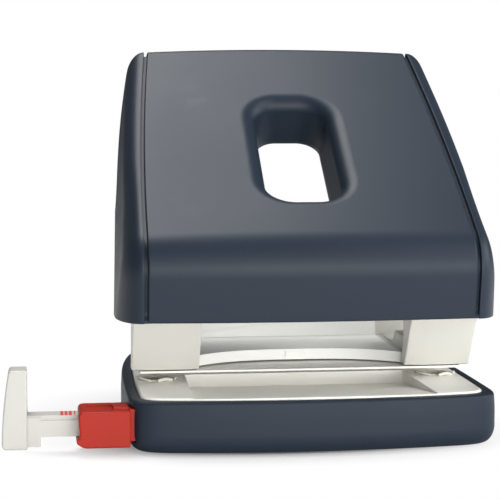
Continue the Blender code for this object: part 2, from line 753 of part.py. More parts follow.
def cheek_outline():
    """Side view of a cheek: it leans forward to a round head about the lever axle."""
    low = frame_low_z()
    foot = Vector((CHEEK_FRONT_Y, low))
    head = Vector((AXLE_Y, AXLE_Z))
    to_head = head - foot
    lean = math.atan2(to_head.y, to_head.x) + math.asin(CHEEK_HEAD_RADIUS / to_head.length)
    front_deg = math.degrees(lean) + 90.0
    points = [tuple(foot)]
    points += arc(tuple(head), CHEEK_HEAD_RADIUS, front_deg, 0.0, 10)
    points += [(AXLE_Y + CHEEK_HEAD_RADIUS, BOSS_TOP_Z), (CHEEK_REAR_FOOT_Y, low)]
    return points


def boss_outline():
    """Side view of the pin boss and the flat foot behind it."""
    low = frame_low_z() + SHELF_LIFT
    foot_top = frame_low_z() + CHEEK_FOOT_HEIGHT
    slope_y = BOSS_REAR_Y + (BOSS_TOP_Z - foot_top)
    front = AXLE_Y + 0.5 * CHEEK_HEAD_RADIUS
    return [(front, low), (front, BOSS_TOP_Z), (BOSS_REAR_Y, BOSS_TOP_Z), (slope_y, foot_top),
            (FRAME_REAR_Y, foot_top), (FRAME_REAR_Y, low)]


def shelf_outline():
    """Plan of the shelf between the cheeks, with its hollow arched front edge."""
    half = CHEEK_INNER_X + 2.0 * CHEEK_ROUND
    rear = FRAME_REAR_Y - SHELF_SET_BACK
    points = [(half, rear), (-half, rear)]
    steps = 16
    for i in range(steps + 1):
        share = 2.0 * i / steps - 1.0
        back = SHELF_ARCH_DEPTH * (1.0 - abs(share) ** SHELF_ARCH_POWER)
        points.append((half * share, CHEEK_FRONT_Y + CHEEK_ROUND + back))
    return points


def build_frame(parts, cutters, paint):
    low = frame_low_z()
    shelf_top = low + SHELF_THICKNESS
    frame = outline_solid("punch_frame", shelf_outline(), low + 2.0 * SHELF_LIFT, shelf_top, "Z",
                          parts, paint)
    for side, label in ((-1, "left"), (1, "right")):
        near, far = sorted((side * CHEEK_INNER_X, side * CHEEK_OUTER_X))
        cheek = outline_solid("cheek_" + label, cheek_outline(), near, far, "X", cutters)
        round_edges(cheek, CHEEK_ROUND, segments=2)
        join(frame, cheek)
        inner = CHEEK_INNER_X + CHEEK_ROUND
        near, far = sorted((side * inner, side * BOSS_OUTER_X))
        boss = outline_solid("pin_boss_" + label, boss_outline(), near, far, "X", cutters)
        round_edges(boss, BOSS_ROUND, segments=2)
        join(frame, boss)
    wall_front = FRAME_REAR_Y - REAR_WALL_THICKNESS - REAR_WALL_LEAN
    inner = shelf_top - 0.5 * SHELF_THICKNESS
    wall = [(wall_front, inner), (FRAME_REAR_Y - REAR_WALL_LEAN, inner),
            (FRAME_REAR_Y, REAR_WALL_TOP_Z), (FRAME_REAR_Y - REAR_WALL_THICKNESS, REAR_WALL_TOP_Z)]
    half = BOSS_OUTER_X - CHEEK_ROUND
    join(frame, outline_solid("rear_wall", wall, -half, half, "X", cutters, smooth=False))
    arch_y = CHEEK_FRONT_Y + CHEEK_ROUND + SHELF_ARCH_DEPTH
    mark_low = low + SHELF_SET_BACK + CENTRE_MARK_DEPTH
    mark = box("centre_mark", (-0.5 * CENTRE_MARK_WIDTH, arch_y - CENTRE_MARK_DEPTH, mark_low),
               (0.5 * CENTRE_MARK_WIDTH, arch_y + CENTRE_MARK_WIDTH, shelf_top - CENTRE_MARK_DEPTH),
               cutters)
    join(frame, mark)
    for side, label in ((-1, "left"), (1, "right")):
        cut(frame, rod_z("frame_pin_bore_" + label, PIN_RADIUS + RUN_GAP, low - CUT_OVERRUN,
                         BOSS_TOP_Z + CUT_OVERRUN, side * 0.5 * HOLE_SPACING, PUNCH_LINE_Y, cutters))
    cut(frame, rod_x("frame_axle_bore", AXLE_RADIUS + SEAT_GAP, -CHEEK_OUTER_X - CUT_OVERRUN,
                     CHEEK_OUTER_X + CUT_OVERRUN, AXLE_Y, AXLE_Z, cutters))
    bore_for_screws(frame, low, shelf_top, cutters, overrun=-SCREW_ROOF)
    return frame


def build_frame_screws(parts, steel):
    """Screws from under the plate: head below it, shank up into the frame."""
    screws = []
    head_top = PLATE_TOP_Z - PLATE_THICKNESS - SEAT_GAP
    tip = frame_low_z() + SCREW_BITE
    for place, label in screw_places():
        profile = [(0.0, tip), (SCREW_SHANK_RADIUS, tip), (SCREW_SHANK_RADIUS, head_top),
                   (SCREW_HEAD_RADIUS, head_top),
                   (SCREW_HEAD_RADIUS, head_top - SCREW_HEAD_HEIGHT),
                   (0.0, head_top - SCREW_HEAD_HEIGHT)]
        screws.append(turned("frame_screw_" + label, profile, (place[0], place[1], 0.0), parts,
                             steel, steps=16))
    return screws


def build_axle(parts, steel):
    return rod_x("lever_axle", AXLE_RADIUS, -AXLE_HALF_LENGTH, AXLE_HALF_LENGTH, AXLE_Y, AXLE_Z,
                 parts, steel)


def bracket_ear_inner_x():
    return CHEEK_INNER_X - BRACKET_SIDE_GAP - BRACKET_PLATE


def build_axle_clips(parts, cutters, steel):
    """Spring clips on the axle, just inside the lever's ears."""
    clips = []
    outer = bracket_ear_inner_x() - SEAT_GAP
    for side, label in ((-1, "left"), (1, "right")):
        low, high = sorted((side * (outer - CLIP_THICKNESS), side * outer))
        clip = rod_x("axle_clip_" + label, CLIP_RADIUS, low, high, AXLE_Y, AXLE_Z, parts, steel)
        near = low - CUT_OVERRUN
        far = high + CUT_OVERRUN
        cut(clip, rod_x("clip_bore_" + label, AXLE_RADIUS + SEAT_GAP, near, far, AXLE_Y, AXLE_Z,
                        cutters))
        half = 0.5 * AXLE_RADIUS
        mouth_low = (near, AXLE_Y - half, AXLE_Z - CLIP_RADIUS - CUT_OVERRUN)
        cut(clip, box("clip_mouth_" + label, mouth_low, (far, AXLE_Y + half, AXLE_Z), cutters))
        clips.append(clip)
    return clips


def bar_y():
    return PUNCH_LINE_Y


def bar_z():
    return AXLE_Z


def pin_head_top_z():
    return bar_z() - BAR_RADIUS - RUN_GAP


def build_pins(parts, cutters, steel):
    """Hollow-ground pins: two points on the tip cut the paper before its middle does."""
    pins = []
    top = pin_head_top_z()
    under = top - PIN_HEAD_HEIGHT
    profile = [(0.0, top), (PIN_HEAD_RADIUS - PIN_CHAMFER, top),
               (PIN_HEAD_RADIUS, top - PIN_CHAMFER), (PIN_HEAD_RADIUS, under),
               (PIN_RADIUS, under), (PIN_RADIUS, PIN_TIP_Z), (0.0, PIN_TIP_Z)]
    for side, label in ((-1, "left"), (1, "right")):
        x = side * 0.5 * HOLE_SPACING
        pin = turned("punch_pin_" + label, profile, (x, PUNCH_LINE_Y, 0.0), parts, steel)
        reach = PIN_RADIUS + CUT_OVERRUN
        flat = PIN_TIP_NOTCH * reach / PIN_RADIUS
        notch = [(PUNCH_LINE_Y - reach, PIN_TIP_Z - flat + PIN_TIP_NOTCH),
                 (PUNCH_LINE_Y - reach, PIN_TIP_Z - CUT_OVERRUN),
                 (PUNCH_LINE_Y + reach, PIN_TIP_Z - CUT_OVERRUN),
                 (PUNCH_LINE_Y + reach, PIN_TIP_Z - flat + PIN_TIP_NOTCH),
                 (PUNCH_LINE_Y, PIN_TIP_Z + PIN_TIP_NOTCH)]
        cut(pin, outline_solid("tip_notch_" + label, notch, x - reach, x + reach, "X", cutters,
                               smooth=False))
        pins.append(pin)
    return pins


def spring_points(low, high):
    """Helix whose first and last curls lie flat against their seats."""
    count = SPRING_CURLS * SPRING_POINTS_PER_CURL
    ends_share = 1.0 / SPRING_CURLS
    dead = SPRING_END_PITCH
    points = []
    for i in range(count + 1):
        share = i / count
        angle = 2.0 * math.pi * SPRING_CURLS * share
        if share < ends_share:
            z = low + dead * share / ends_share
        elif share > 1.0 - ends_share:
            z = high - dead * (1.0 - share) / ends_share
        else:
            free = (share - ends_share) / (1.0 - 2.0 * ends_share)
            z = low + dead + (high - low - 2.0 * dead) * free
        points.append(Vector((SPRING_RADIUS * math.cos(angle), SPRING_RADIUS * math.sin(angle), z)))
    return points


def least_self_gap(points):
    """Least clear distance between curls, from points at least half a curl apart."""
    least = math.inf
    apart = SPRING_POINTS_PER_CURL // 2
    for i, first in enumerate(points):
        for second in points[i + apart:]:
            least = min(least, (first - second).length)
    return least - 2.0 * SPRING_WIRE_RADIUS


def build_springs(parts, steel):
    springs = []
    low = BOSS_TOP_Z + SEAT_GAP + SPRING_WIRE_RADIUS
    high = pin_head_top_z() - PIN_HEAD_HEIGHT - SEAT_GAP - SPRING_WIRE_RADIUS
    points = spring_points(low, high)
    print("return spring least self gap mm", round(1000.0 * least_self_gap(points), 3))
    for side, label in ((-1, "left"), (1, "right")):
        curve = bpy.data.curves.new("return_spring_" + label, "CURVE")
        curve.dimensions = "3D"
        curve.bevel_depth = SPRING_WIRE_RADIUS
        curve.bevel_resolution = 1
        curve.use_fill_caps = True
        spline = curve.splines.new("POLY")
        spline.points.add(len(points) - 1)
        for point, place in zip(spline.points, points):
            point.co = (place.x + side * 0.5 * HOLE_SPACING, place.y + PUNCH_LINE_Y, place.z, 1.0)
        holder = bpy.data.objects.new("return_spring_curve_" + label, curve)
        parts.objects.link(holder)
        springs.append(curve_to_mesh(holder, "return_spring_" + label, parts, steel))
    return springs


def panel_down():
    """Unit vector down the panel's slope, in (y, z)."""
    slope = math.radians(PANEL_SLOPE_DEG)
    return Vector((-math.cos(slope), -math.sin(slope)))


def panel_inward():
    """Unit vector from the panel's face into the hood, in (y, z)."""
    down = panel_down()
    return Vector((-down.y, down.x))


def panel_point(along, depth):
    """Point at a distance down the slope from the panel's top and at a depth under its face."""
    place = Vector((PANEL_TOP_Y, PANEL_TOP_Z)) + panel_down() * along + panel_inward() * depth
    return place


def hood_profile():
    """Side view of the hood's outer face, from the rear edge over the top to the lip."""
    top = Vector((PANEL_TOP_Y, PANEL_TOP_Z))
    down = panel_down()
    corner = top + down * ((HOOD_REAR_Y - PANEL_TOP_Y) / down.x)
    bend = Vector((LIP_CORNER_Y, panel_z(LIP_CORNER_Y)))
    rear = (HOOD_REAR_Y, HOOD_REAR_DROP_Z)
    lip = (LIP_BOTTOM_Y, LIP_BOTTOM_Z)
    points = [rear]
    points += fillet(rear, corner, bend, HOOD_TOP_RADIUS, 5)
    first = Vector(points[-1])
    curve = fillet(corner, bend, lip, LIP_BEND_RADIUS, 8)
    last = Vector(curve[0])
    for share in (0.2, 0.4, 0.6, 0.8):
        points.append(tuple(first.lerp(last, share)))
    points += curve
    foot = Vector(curve[-1]).lerp(Vector(lip), 0.5)
    points += [tuple(foot), lip]
    return points


def panel_z(y):
    """Height of the panel's plane at a depth along the base."""
    return PANEL_TOP_Z - (PANEL_TOP_Y - y) * math.tan(math.radians(PANEL_SLOPE_DEG))


def groove_x(z):
    """Half width of the main shell: straight at the lip, drawn in towards the top."""
    share = max(0.0, (z - GROOVE_BOW_START_Z) / (PANEL_TOP_Z - GROOVE_BOW_START_Z))
    return GROOVE_LIP_X - (GROOVE_LIP_X - GROOVE_TOP_X) * share * share


def flank_x(z):
    """Half width across the side caps, which lean in towards the top."""
    away = min(1.0, abs(z - FLANK_BULGE_Z) / FLANK_BULGE_REACH)
    bulge = FLANK_BULGE * (1.0 - away * away) ** 2
    return FLANK_LIP_X - FLANK_LEAN_SHARE * (z - LIP_BOTTOM_Z) + bulge


def crown(x, z):
    """How far the main shell stands proud across its width: nothing at the grooves."""
    share = min(1.0, abs(x) / groove_x(z))
    return HOOD_CROWN * (1.0 - share * share)


def inner_profile(depth):
    """The hood's side view moved inwards by a depth, mitred at each point."""
    points = [Vector(point) for point in hood_profile()]
    moved = []
    for i, point in enumerate(points):
        behind = (point - points[i - 1]).normalized() if i > 0 else None
        ahead = (points[i + 1] - point).normalized() if i < len(points) - 1 else None
        behind = behind or ahead
        ahead = ahead or behind
        along = (behind + ahead).normalized()
        inward = Vector((-along.y, along.x))
        moved.append(point + inward * (depth / along.dot(ahead)))
    return moved


def build_cover(parts, cutters, paint):
    outer = hood_profile()
    raised = inner_profile(-HOOD_CROWN)
    columns = 10
    grid = []
    for (y, z), high in zip(outer, raised):
        row = []
        for i in range(columns + 1):
            x = groove_x(z) * (2.0 * i / columns - 1.0)
            share = crown(x, z) / HOOD_CROWN
            row.append((x, y + (high.x - y) * share, z + (high.y - z) * share))
        grid.append(row)
    cover = sheet("lever_cover", grid, parts, paint)
    thicken(cover, HOOD_WALL)
    for side, label in ((-1, "left"), (1, "right")):
        join(cover, lap_strip("cover_lap_" + label, side, LAP_DEPTH, HOOD_WALL - LAP_DEPTH,
                              LAP_REACH, cutters))
    join(cover, loft("grip_collar", collar_rings(), cutters))
    cut(cover, loft("grip_tunnel", tunnel_rings(), cutters))
    turn = panel_turn()
    for side, label in ((-1, "left"), (1, "right")):
        place = panel_frame_point(side * COVER_SCREW_X, COVER_SCREW_ALONG, HOOD_WALL + BOSS_HEIGHT)
        join(cover, slanted_rod("cover_boss_" + label, BOSS_RADIUS, place,
                                BOSS_HEIGHT + 0.7 * HOOD_WALL, turn, cutters))
        cut(cover, slanted_rod("cover_boss_bore_" + label, COVER_SCREW_RADIUS + SEAT_GAP,
                               panel_frame_point(side * COVER_SCREW_X, COVER_SCREW_ALONG,
                                                 HOOD_WALL + BOSS_HEIGHT + CUT_OVERRUN),
                               CUT_OVERRUN + COVER_SCREW_BITE + COVER_SCREW_ROOF, turn, cutters))
    return cover


def lap_strip(name, side, depth, thickness, reach, cutters):
    """Strip that follows the groove under the face and reaches under the side cap."""
    grid = []
    for point in inner_profile(depth):
        edge = groove_x(point.y)
        row = [(side * (edge - LAP_ROOT), point.x, point.y),
               (side * (edge + reach), point.x, point.y)]
        grid.append(row if side > 0 else row[::-1])
    strip = sheet(name, grid, cutters)
    thicken(strip, thickness)
    return strip


def thicken(made, wall):
    """Give an open surface its wall, on the inner side."""
    solid = made.modifiers.new("wall", "SOLIDIFY")
    solid.thickness = wall
    solid.offset = -1.0
    solid.use_even_offset = True
    return solid


def panel_turn():
    """Turns +Z to point out of the panel."""
    inward = panel_inward()
    outward = Vector((0.0, -inward.x, -inward.y))
    return Vector((0.0, 0.0, 1.0)).rotation_difference(outward).to_matrix().to_4x4()


def panel_frame_point(x, along, depth):
    place = panel_point(along, depth)
    return Vector((x, place.x, place.y))


def slanted_rod(name, radius, foot, length, turn, collection, material=None):
    """A rod that starts at its foot and stands square to the panel, pointing outwards."""
    bm = bmesh.new()
    bmesh.ops.create_cone(bm, cap_ends=True, segments=16, radius1=radius, radius2=radius,
                          depth=length)
    bmesh.ops.translate(bm, vec=(0.0, 0.0, 0.5 * length), verts=bm.verts)
    bmesh.ops.transform(bm, matrix=Matrix.Translation(foot) @ turn, verts=bm.verts)
    return add_object(name, mesh_from(bm, name, smooth=True), collection, material)


def grip_ring(grow, depth):
    """Ring of the grip hole at a depth under the panel, grown outwards by some length."""
    outline = rounded_box_outline(GRIP_HALF_WIDTH + grow, GRIP_HALF_LENGTH + grow,
                                  GRIP_CORNER_RADIUS + grow, 6)
    ring = []
    for x, y in outline:
        across = GRIP_CENTRE_X + x
        along = GRIP_CENTRE_ALONG + y
        height = panel_point(along, depth).y
        ring.append(panel_frame_point(across, along, depth - crown(across, height)))
    return ring


def tunnel_rings():
    """The hole's edge is rounded over where it meets the panel, and its walls draw in."""
    rings = [grip_ring(GRIP_ROUND, -CUT_OVERRUN)]
    for angle in (12, 30, 50, 70, 90):
        lean = math.radians(angle)
        grow = GRIP_ROUND * (1.0 - math.sin(lean))
        rings.append(grip_ring(grow, GRIP_ROUND * (1.0 - math.cos(lean))))
    taper = GRIP_TAPER * (GRIP_DEPTH + CUT_OVERRUN - GRIP_ROUND) / (GRIP_DEPTH - GRIP_ROUND)
    rings.append(grip_ring(-taper, GRIP_DEPTH + CUT_OVERRUN))
    return rings


def collar_rings():
    """Wall that follows the tunnel down into the hood."""
    rings = []
    for angle in (90, 60, 30, 0):
        lean = math.radians(angle)
        grow = GRIP_COLLAR_WALL + GRIP_ROUND * (1.0 - math.cos(lean))
        depth = 0.5 * HOOD_WALL + GRIP_ROUND * (1.0 - math.sin(lean))
        rings.append(grip_ring(grow, depth))
    rings = [grip_ring(GRIP_COLLAR_WALL + GRIP_ROUND, 0.25 * HOOD_WALL)] + rings
    rings.append(grip_ring(GRIP_COLLAR_WALL - GRIP_TAPER, GRIP_DEPTH))
    return rings


def cap_corner_depth(z):
    """How deep the rounded front edge of a side cap runs before the flank is flat."""
    share = (z - LIP_BOTTOM_Z) / (CAP_CORNER_TURN_Z - LIP_BOTTOM_Z)
    share = max(0.0, min(1.0, share))
    return CAP_CORNER_LIP + (CAP_CORNER_TOP - CAP_CORNER_LIP) * share


def cap_row(point, foot, side):
    """One strip of a side cap, from the groove round the edge and down the flank."""
    run = foot - point
    length = run.length
    ahead = run.normalized()
    corner = min(cap_corner_depth(point.y), length)
    row = []
    for angle in (0, 15, 30, 45, 60, 75, 90):
        lean = math.radians(angle)
        place = point + ahead * corner * (1.0 - math.cos(lean))
        groove = groove_x(point.y) + GROOVE_WIDTH
        x = groove + (flank_x(place.y) - groove) * math.sin(lean)
        row.append((side * x, place.x, place.y))
    for share in (0.25, 0.5, 0.75, 1.0):
        place = point + ahead * (corner + (length - corner) * share)
        row.append((side * flank_x(place.y), place.x, place.y))
    return row


def build_caps(parts, cutters, paint):
    profile = [Vector(point) for point in hood_profile()]
    lengths = [0.0]
    for first, second in zip(profile, profile[1:]):
        lengths.append(lengths[-1] + (second - first).length)
    rear = Vector((FLANK_REAR_Y, FLANK_REAR_Z))
    front = Vector((FLANK_FRONT_Y, FLANK_FRONT_Z))
    caps = []
    for side, label in ((-1, "left"), (1, "right")):
        grid = []
        for point, run in zip(profile, lengths):
            foot = rear.lerp(front, run / lengths[-1])
            grid.append(cap_row(point, foot, side))
        if side < 0:
            grid = [row[::-1] for row in grid]
        cap = sheet("side_cap_" + label, grid, parts, paint)
        thicken(cap, HOOD_WALL)
        cut(cap, lap_strip("cap_rebate_" + label, side, LAP_DEPTH - LAP_GAP,
                           HOOD_WALL - LAP_DEPTH + LAP_OVERRUN, LAP_REACH + LAP_GAP, cutters))
        caps.append(cap)
    return caps


def flange_depth():
    """Depth of the bracket's flanges under the panel's face: they hang below the bosses."""
    return HOOD_WALL + BOSS_HEIGHT + SEAT_GAP


def ear_outline():
    """Side view of an ear: an eye on the axle, an eye on the press bar, and the flange above."""
    depth = flange_depth() + 0.5 * FLANGE_THICKNESS
    points = [tuple(panel_point(FLANGE_START_ALONG, depth)),
              tuple(panel_point(FLANGE_START_ALONG + FLANGE_LENGTH, depth))]
    points += arc((AXLE_Y, AXLE_Z), BRACKET_EAR_RADIUS, 165, 270, 7)
    points += arc((bar_y(), bar_z()), BRACKET_BAR_EYE_RADIUS, 270, 375, 7)
    return points


def build_bracket(parts, cutters, steel):
    inner = bracket_ear_inner_x()
    web_low = (-inner - 0.5 * BRACKET_PLATE, WEB_FRONT_Y, WEB_Z)
    web_high = (inner + 0.5 * BRACKET_PLATE, WEB_REAR_Y, WEB_Z + WEB_THICKNESS)
    bracket = box("lever_bracket", web_low, web_high, parts, steel)
    turn = panel_turn()
    for side, label in ((-1, "left"), (1, "right")):
        low, high = sorted((side * inner, side * (inner + BRACKET_PLATE)))
        join(bracket, outline_solid("bracket_ear_" + label, ear_outline(), low, high, "X", cutters))
        join(bracket, flange(side, label, inner, cutters))
        hole = panel_frame_point(side * COVER_SCREW_X, COVER_SCREW_ALONG,
                                 flange_depth() + FLANGE_THICKNESS + CUT_OVERRUN)
        cut(bracket, slanted_rod("flange_hole_" + label, COVER_SCREW_RADIUS + RUN_GAP, hole,
                                 FLANGE_THICKNESS + 2.0 * CUT_OVERRUN, turn, cutters))
    reach = inner + BRACKET_PLATE + CUT_OVERRUN
    cut(bracket, rod_x("bracket_axle_bore", AXLE_RADIUS + RUN_GAP, -reach, reach, AXLE_Y, AXLE_Z,
                       cutters))
    cut(bracket, rod_x("bracket_bar_bore", BAR_RADIUS + SEAT_GAP, -reach, reach, bar_y(), bar_z(),
                       cutters))
    return bracket


def flange(side, label, inner, cutters):
    """Flat flange under the panel, bent inwards from the top of an ear."""
    low, high = sorted((side * (inner + 0.5 * BRACKET_PLATE), side * (inner - FLANGE_WIDTH)))
    corners = [panel_point(FLANGE_START_ALONG, flange_depth()),
               panel_point(FLANGE_START_ALONG + FLANGE_LENGTH, flange_depth()),
               panel_point(FLANGE_START_ALONG + FLANGE_LENGTH, flange_depth() + FLANGE_THICKNESS),
               panel_point(FLANGE_START_ALONG, flange_depth() + FLANGE_THICKNESS)]
    return outline_solid("bracket_flange_" + label, [tuple(c) for c in corners], low, high, "X",
                         cutters, smooth=False)


def build_cover_screws(parts, steel):
    screws = []
    turn = panel_turn()
    for side, label in ((-1, "left"), (1, "right")):
        depth = flange_depth() + FLANGE_THICKNESS + SEAT_GAP
        head_foot = panel_frame_point(side * COVER_SCREW_X, COVER_SCREW_ALONG,
                                      depth + COVER_SCREW_HEAD)
        length = COVER_SCREW_HEAD + depth - HOOD_WALL - BOSS_HEIGHT + COVER_SCREW_BITE
        profile = [(0.0, length), (COVER_SCREW_RADIUS, length), (COVER_SCREW_RADIUS, COVER_SCREW_HEAD),
                   (COVER_SCREW_HEAD_RADIUS, COVER_SCREW_HEAD), (COVER_SCREW_HEAD_RADIUS, 0.0),
                   (0.0, 0.0)]
        screw = turned("cover_screw_" + label, profile, head_foot, parts, steel, steps=16)
        screw.rotation_euler = turn.to_euler()
        screws.append(screw)
    return screws


def build_press_bar(parts, steel):
    return rod_x("press_bar", BAR_RADIUS, -BAR_HALF_LENGTH, BAR_HALF_LENGTH, bar_y(), bar_z(), parts,
                 steel)


def guide_head_outline():
    """Front view of the stop: its outer side leans in towards the top."""
    right = GUIDE_STOP_X
    bottom_left = (right - HEAD_BOTTOM_WIDTH, HEAD_BOTTOM_Z)
    top_left = (right - HEAD_TOP_WIDTH, HEAD_TOP_Z)
    bottom_right = (right, HEAD_BOTTOM_Z)
    top_right = (right, HEAD_TOP_Z)
    points = [top_right]
    points += fillet(top_right, top_left, bottom_left, 0.5 * HEAD_CORNER, 3)
    points += fillet(top_left, bottom_left, bottom_right, HEAD_CORNER, 4)
    points += [bottom_right]
    return points


def build_guide(parts, cutters, paint):
    middle_y = GUIDE_FRONT_Y + 0.5 * GUIDE_DEPTH
    low_y = middle_y - 0.5 * HEAD_DEPTH
    guide = outline_solid("paper_guide", guide_head_outline(), low_y, low_y + HEAD_DEPTH, "Y", parts,
                          paint)
    round_edges(guide, HEAD_ROUND, segments=2)
    rear_y = GUIDE_FRONT_Y + GUIDE_DEPTH
    inner = GUIDE_STOP_X - 0.5 * HEAD_TOP_WIDTH
    join(guide, box("guide_foot", (inner, GUIDE_FRONT_Y, FOOT_BOTTOM_Z),
                    (GUIDE_STOP_X + FOOT_LENGTH, rear_y, GUIDE_TOP_Z - GUIDE_STEP), cutters))
    join(guide, box("guide_lower_rail", (inner, GUIDE_FRONT_Y, GUIDE_BOTTOM_Z),
                    (GUIDE_INNER_X, rear_y, GUIDE_STEP_Z), cutters))
    upper_low = (inner, GUIDE_FRONT_Y + GUIDE_STEP, GUIDE_STEP_Z - GUIDE_STEP)
    join(guide, box("guide_upper_rail", upper_low, (GUIDE_INNER_X, rear_y, GUIDE_TOP_Z), cutters))
    catch_low = (GUIDE_INNER_X - GUIDE_CATCH_LENGTH, rear_y - GUIDE_STEP, GUIDE_BOTTOM_Z)
    catch_high = (GUIDE_INNER_X, rear_y + GUIDE_CATCH_DEPTH, GUIDE_TOP_Z - GUIDE_STEP)
    join(guide, box("guide_catch", catch_low, catch_high, cutters))
    for i in range(NOTCH_COUNT):
        left = GUIDE_STOP_X + NOTCH_FIRST_OFFSET + NOTCH_PITCH * i - 0.5 * NOTCH_WIDTH
        notch_low = (left, rear_y - NOTCH_DEPTH, GUIDE_BOTTOM_Z - CUT_OVERRUN)
        notch_high = (left + NOTCH_WIDTH, rear_y + CUT_OVERRUN, GUIDE_TOP_Z + CUT_OVERRUN)
        cut(guide, box(f"guide_notch_{i}", notch_low, notch_high, cutters))
    return guide


def build_sleeve(parts, cutters, paint):
    """Red sleeve in the tray's wall: a reading window and a spring tongue on its top."""
    rear_y = SLEEVE_FRONT_Y + SLEEVE_DEPTH
    sleeve = box("guide_sleeve", (SLEEVE_LEFT_X, SLEEVE_FRONT_Y, SLEEVE_BOTTOM_Z),
                 (SLEEVE_RIGHT_X, rear_y, SLEEVE_TOP_Z), parts, paint, rounding=SLEEVE_ROUND)
    cut(sleeve, loft("sleeve_tray_side", tray_rings(SEAT_GAP), cutters))
    neck_low, neck_high = sleeve_neck_box(0.0)
    join(sleeve, box("sleeve_neck", neck_low, neck_high, cutters))
    pad_low = (WINDOW_RIGHT_X, WINDOW_FRONT_Y, SLEEVE_TOP_Z - TONGUE_PAD_HEIGHT)
    pad_high = (WINDOW_RIGHT_X + TONGUE_PAD_LENGTH, WINDOW_REAR_Y, SLEEVE_TOP_Z + TONGUE_PAD_HEIGHT)
    join(sleeve, box("tongue_pad", pad_low, pad_high, cutters, rounding=TONGUE_PAD_ROUND))
    cut(sleeve, box("sleeve_window", (WINDOW_LEFT_X, WINDOW_FRONT_Y, SLEEVE_TOP_Z - WINDOW_DEPTH),
                    (WINDOW_RIGHT_X, WINDOW_REAR_Y, SLEEVE_TOP_Z + CUT_OVERRUN), cutters))
    bore_low = (SLEEVE_LEFT_X - CUT_OVERRUN, GUIDE_FRONT_Y - RUN_GAP, GUIDE_BOTTOM_Z - RUN_GAP)
    bore_high = (neck_high[0] + CUT_OVERRUN, GUIDE_FRONT_Y + GUIDE_DEPTH + RUN_GAP,
                 GUIDE_TOP_Z + RUN_GAP)
    cut(sleeve, box("sleeve_rail_bore", bore_low, bore_high, cutters))
    return sleeve


def hang_on(axis_name, point, members, parts, parent=None):
    """Parent the members to an empty that stands on their joint's axis."""
    empty = bpy.data.objects.new(axis_name, None)
    empty.empty_display_size = HINGE_PLATE_KNUCKLE
    parts.objects.link(empty)
    empty.location = point
    if parent is not None:
        empty.parent = parent
        empty.matrix_parent_inverse = Matrix.Translation(parent["place"]).inverted()
    empty["place"] = point
    for member in members:
        member.parent = empty
        member.matrix_parent_inverse = Matrix.Translation(point).inverted()
    return empty


def main():
    clear_scene()
    parts = make_collection(OBJECT_COLLECTION)
    cutters = make_collection(CUTTER_COLLECTION)
    slate = make_material("slate_plastic", (0.055, 0.075, 0.095), 0.45)
    slate_metal = make_material("slate_satin", (0.10, 0.125, 0.15), 0.40)
    ivory = make_material("ivory_enamel", (0.72, 0.72, 0.66), 0.40)
    red = make_material("red_plastic", (0.56, 0.055, 0.025), 0.35)
    steel = make_material("bright_steel", (0.62, 0.62, 0.62), 0.30, 1.0)
    rubber = make_material("black_rubber", (0.02, 0.02, 0.02), 0.85)

    build_tray(parts, cutters, slate)
    build_mat(parts, rubber)
    build_sleeve(parts, cutters, red)
    guide = build_guide(parts, cutters, ivory)

    chassis = [build_base_plate(parts, cutters, ivory), build_paper_stop(parts, cutters, ivory),
               build_stripper(parts, cutters, ivory), build_frame(parts, cutters, ivory),
               build_axle(parts, steel)]
    chassis += build_dies(parts, steel)
    chassis += build_frame_screws(parts, steel)
    chassis += build_axle_clips(parts, cutters, steel)
    chassis += build_springs(parts, steel)
    build_hinge_pins(parts, steel)

    lever = [build_bracket(parts, cutters, steel), build_press_bar(parts, steel),
             build_cover(parts, cutters, slate_metal)]
    lever += build_caps(parts, cutters, slate_metal)
    lever += build_cover_screws(parts, steel)
    pins = build_pins(parts, cutters, steel)

    tray_axis = hang_on("tray_hinge_axis", (0.0, HINGE_Y, HINGE_Z), chassis, parts)
    hang_on("lever_hinge_axis", (0.0, AXLE_Y, AXLE_Z), lever, parts, tray_axis)
    for pin, side, label in zip(pins, (-1, 1), ("left", "right")):
        place = (side * 0.5 * HOLE_SPACING, PUNCH_LINE_Y, PIN_TIP_Z)
        hang_on("pin_slide_axis_" + label, place, [pin], parts, tray_axis)
    guide_place = (GUIDE_STOP_X, GUIDE_FRONT_Y + 0.5 * GUIDE_DEPTH, GUIDE_BOTTOM_Z)
    hang_on("guide_slide_axis", guide_place, [guide], parts)


main()
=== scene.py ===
import math

import bmesh
import bpy
import numpy as np
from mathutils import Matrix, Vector


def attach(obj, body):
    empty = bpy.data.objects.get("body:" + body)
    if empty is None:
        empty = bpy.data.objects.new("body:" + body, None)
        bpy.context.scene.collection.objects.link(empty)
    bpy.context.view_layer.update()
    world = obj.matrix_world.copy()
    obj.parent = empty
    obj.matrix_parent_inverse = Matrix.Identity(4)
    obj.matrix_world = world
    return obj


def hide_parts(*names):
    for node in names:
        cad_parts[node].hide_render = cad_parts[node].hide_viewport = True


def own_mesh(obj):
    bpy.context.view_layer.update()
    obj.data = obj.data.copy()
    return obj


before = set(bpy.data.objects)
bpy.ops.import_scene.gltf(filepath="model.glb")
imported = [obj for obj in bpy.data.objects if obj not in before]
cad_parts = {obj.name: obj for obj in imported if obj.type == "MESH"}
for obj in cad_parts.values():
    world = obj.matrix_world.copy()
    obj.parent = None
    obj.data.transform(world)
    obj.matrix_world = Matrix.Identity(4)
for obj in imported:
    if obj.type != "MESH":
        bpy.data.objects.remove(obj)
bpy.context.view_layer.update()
mm = 0.001
scene = bpy.context.scene
print("frame loaded")


